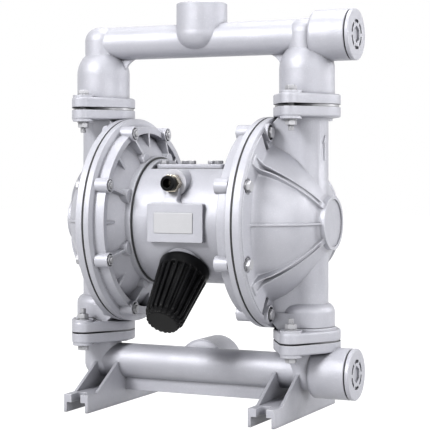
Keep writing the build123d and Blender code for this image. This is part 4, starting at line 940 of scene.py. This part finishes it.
# Muffler. A tapered black moulding with a plain collar and twenty standing ribs, screwed into
# the exhaust boss on a thread of its own, with a porous white tube inside.
muffler_place = np.array((4.0, 0.0, 252.0))
muffler_along = np.array((0.0, -cos(radians(45)), -sin(radians(45))))
muffler_run = (84.0, 177.0)
muffler_radii = (34.5, 25.0)
muffler_columns = 640
collar_length = 16.0
collar_rows = (0.4, 1.2, 2.2, 3.2)
collar_round = (2.0, 3.2)
collar_step = (-1.2, 1.5)
muffler_ribs = 20
rib_height = 4.5
rib_half = 2.3
rib_flanks = (-0.7, 0.8)
rib_crown = 0.35
rib_stop, rib_fall = 11.0, 4.4
tip_notch = 1.4
tip_round = (0.9, 1.3)
muffler_stem = (62.0, 88.0, 16.0, 12.0)
muffler_wall = (4.0, 7.0, 2.6, 2.5)


def muffler_shell(s, turn):
    """Radius of the outside at a place along the axis and an angle: the taper, less the grooves
    between the ribs, whose crests curve down before the tip by sqrt(1 - t^2)."""
    start, end = muffler_run
    collar_end = start + collar_length
    slope = (muffler_radii[1] - muffler_radii[0]) / (end - start)
    shell = muffler_radii[0] + (s - start) * slope
    depth, length = collar_round
    shell = shell - depth * (1 - np.clip((s - start) / length, 0, 1)) ** 2
    low = shell - rib_height
    drop = np.clip((s - end + rib_stop) / rib_fall, 0, 1)
    crest = low + tip_notch + (rib_height - tip_notch) * np.sqrt(1 - drop ** 2)
    across = np.abs((turn * muffler_ribs / tau) % 1 - 0.5) * tau * shell / muffler_ribs
    rib = 1 - step(across, rib_half + rib_flanks[0], rib_half + rib_flanks[1])
    crown = crest - rib_crown * (across / rib_half) ** 2 * rib
    ribbed = low + (crown - low) * rib
    begun = step(s, collar_end + collar_step[0], collar_end + collar_step[1])
    depth, length = tip_round
    return shell + (ribbed - shell) * begun - depth * step(s, end - length, end) ** 2


def muffler_points():
    """Rows along the axis, each a loop: the stem and the inside, the shell and the tip."""
    start, end = muffler_run
    mid, stop = start + collar_length, end - rib_stop
    s = np.concatenate([start + np.array(collar_rows), [mid - 4],
                        np.linspace(mid - 1.5, mid + 3, 10), np.linspace(mid + 6, stop, 12),
                        np.linspace(stop + 0.4, stop + 6, 12),
                        [end - 3, end - 1.2, end - 0.5, end]])
    turn = np.arange(muffler_columns) * tau / muffler_columns
    shell = muffler_shell(s[:, None], turn)
    wall, shoulder, lip, tip = muffler_wall
    inner = muffler_radii[1] - rib_height - wall
    back, front, stem, bore = muffler_stem
    before = [(end - 4, inner), (front, inner + shoulder), (front, bore), (back, bore),
              (back, stem), (start, stem), (start, muffler_radii[0] - lip)]
    after = [(end, muffler_radii[1] - rib_height - tip), (end, 4.0)]
    along = np.concatenate([[z for z, r in before], s, [z for z, r in after]])
    plain = [np.full((len(rows), muffler_columns), np.array([r for z, r in rows])[:, None])
             for rows in (before, after)]
    radius = np.concatenate([plain[0], shell, plain[1]])
    side = np.array((1.0, 0.0, 0.0))
    third = np.cross(muffler_along, side)
    spoke = np.cos(turn)[:, None] * side + np.sin(turn)[:, None] * third
    return muffler_place + along[:, None, None] * muffler_along + radius[..., None] * spoke


muffler = piece("ribbed_muffler", mesh_of("muffler", [muffler_points()]), black_plastic,
                50)
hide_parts("muffler")
dress(plastic("porous_white", (0.7, 0.7, 0.68, 1), 0.7, 0.0015), "muffler_core")

# Floor and light. A pale floor and sky show white to the camera, and wide lamps light the
# pump softly from the front left, the right and above.
floor_size = 14.0
floor_tone, floor_rough = 0.4, 0.9
floor_glow, floor_share = 1.35, 0.8
sky_level = 0.12


def white_to_camera(tree):
    """1 for a ray from the camera or off a glossy or clear surface, else 0."""
    path = add(tree, "LightPath")
    seen = mathematics(tree, "MAXIMUM", path.outputs["Is Camera Ray"],
                       path.outputs["Is Glossy Ray"])
    return mathematics(tree, "MAXIMUM", seen, path.outputs["Is Transmission Ray"])


floor_half = floor_size / 2
floor_mesh = bpy.data.meshes.new("floor")
floor_mesh.from_pydata([(x * floor_half, y * floor_half, 0)
                        for x, y in ((-1, -1), (1, -1), (1, 1), (-1, 1))], [], [(0, 1, 2, 3)])
floor = bpy.data.objects.new("floor", floor_mesh)
bpy.context.scene.collection.objects.link(floor)
floor_material, floor_tree, floor_shader = new_material("pale_floor")
floor_shader.inputs["Base Color"].default_value = (floor_tone, floor_tone, floor_tone, 1)
floor_shader.inputs["Roughness"].default_value = floor_rough
glow = add(floor_tree, "Emission", Color=(1, 1, 1, 1), Strength=floor_glow)
mixed = add(floor_tree, "MixShader")
floor_tree.links.new(mathematics(floor_tree, "MULTIPLY", white_to_camera(floor_tree),
                                 floor_share), mixed.inputs[0])
floor_tree.links.new(floor_shader.outputs[0], mixed.inputs[1])
floor_tree.links.new(glow.outputs[0], mixed.inputs[2])
floor_tree.links.new(mixed.outputs[0], floor_tree.nodes["Material Output"].inputs["Surface"])
floor_mesh.materials.append(floor_material)

world = bpy.data.worlds.new("studio")
world.use_nodes = True
bpy.context.scene.world = world
sky = world.node_tree
background = sky.nodes["Background"]
background.inputs["Color"].default_value = (1, 1, 1, 1)
strength = mathematics(sky, "ADD", mathematics(sky, "MULTIPLY", white_to_camera(sky),
                                               1 - sky_level), sky_level)
sky.links.new(strength, background.inputs["Strength"])

lamps = (
    ("key", (-1.2, -2.7, 2.0), 1.0, 122),
    ("fill", (2.6, -1.6, 1.1), 1.2, 42),
    ("top", (0.1, 0.3, 2.8), 1.2, 62),
    ("back", (2.2, 1.2, 1.0), 1.0, 34),
)
aim = Vector((0, 0, 0.28))
for name, place, size, watts in lamps:
    light = bpy.data.lights.new(name, "AREA")
    light.size = size
    light.energy = watts
    lamp = bpy.data.objects.new(name, light)
    lamp.location = place
    lamp.rotation_euler = (aim - Vector(place)).to_track_quat("-Z", "Y").to_euler()
    bpy.context.scene.collection.objects.link(lamp)

bpy.context.scene.view_settings.view_transform = "Standard"
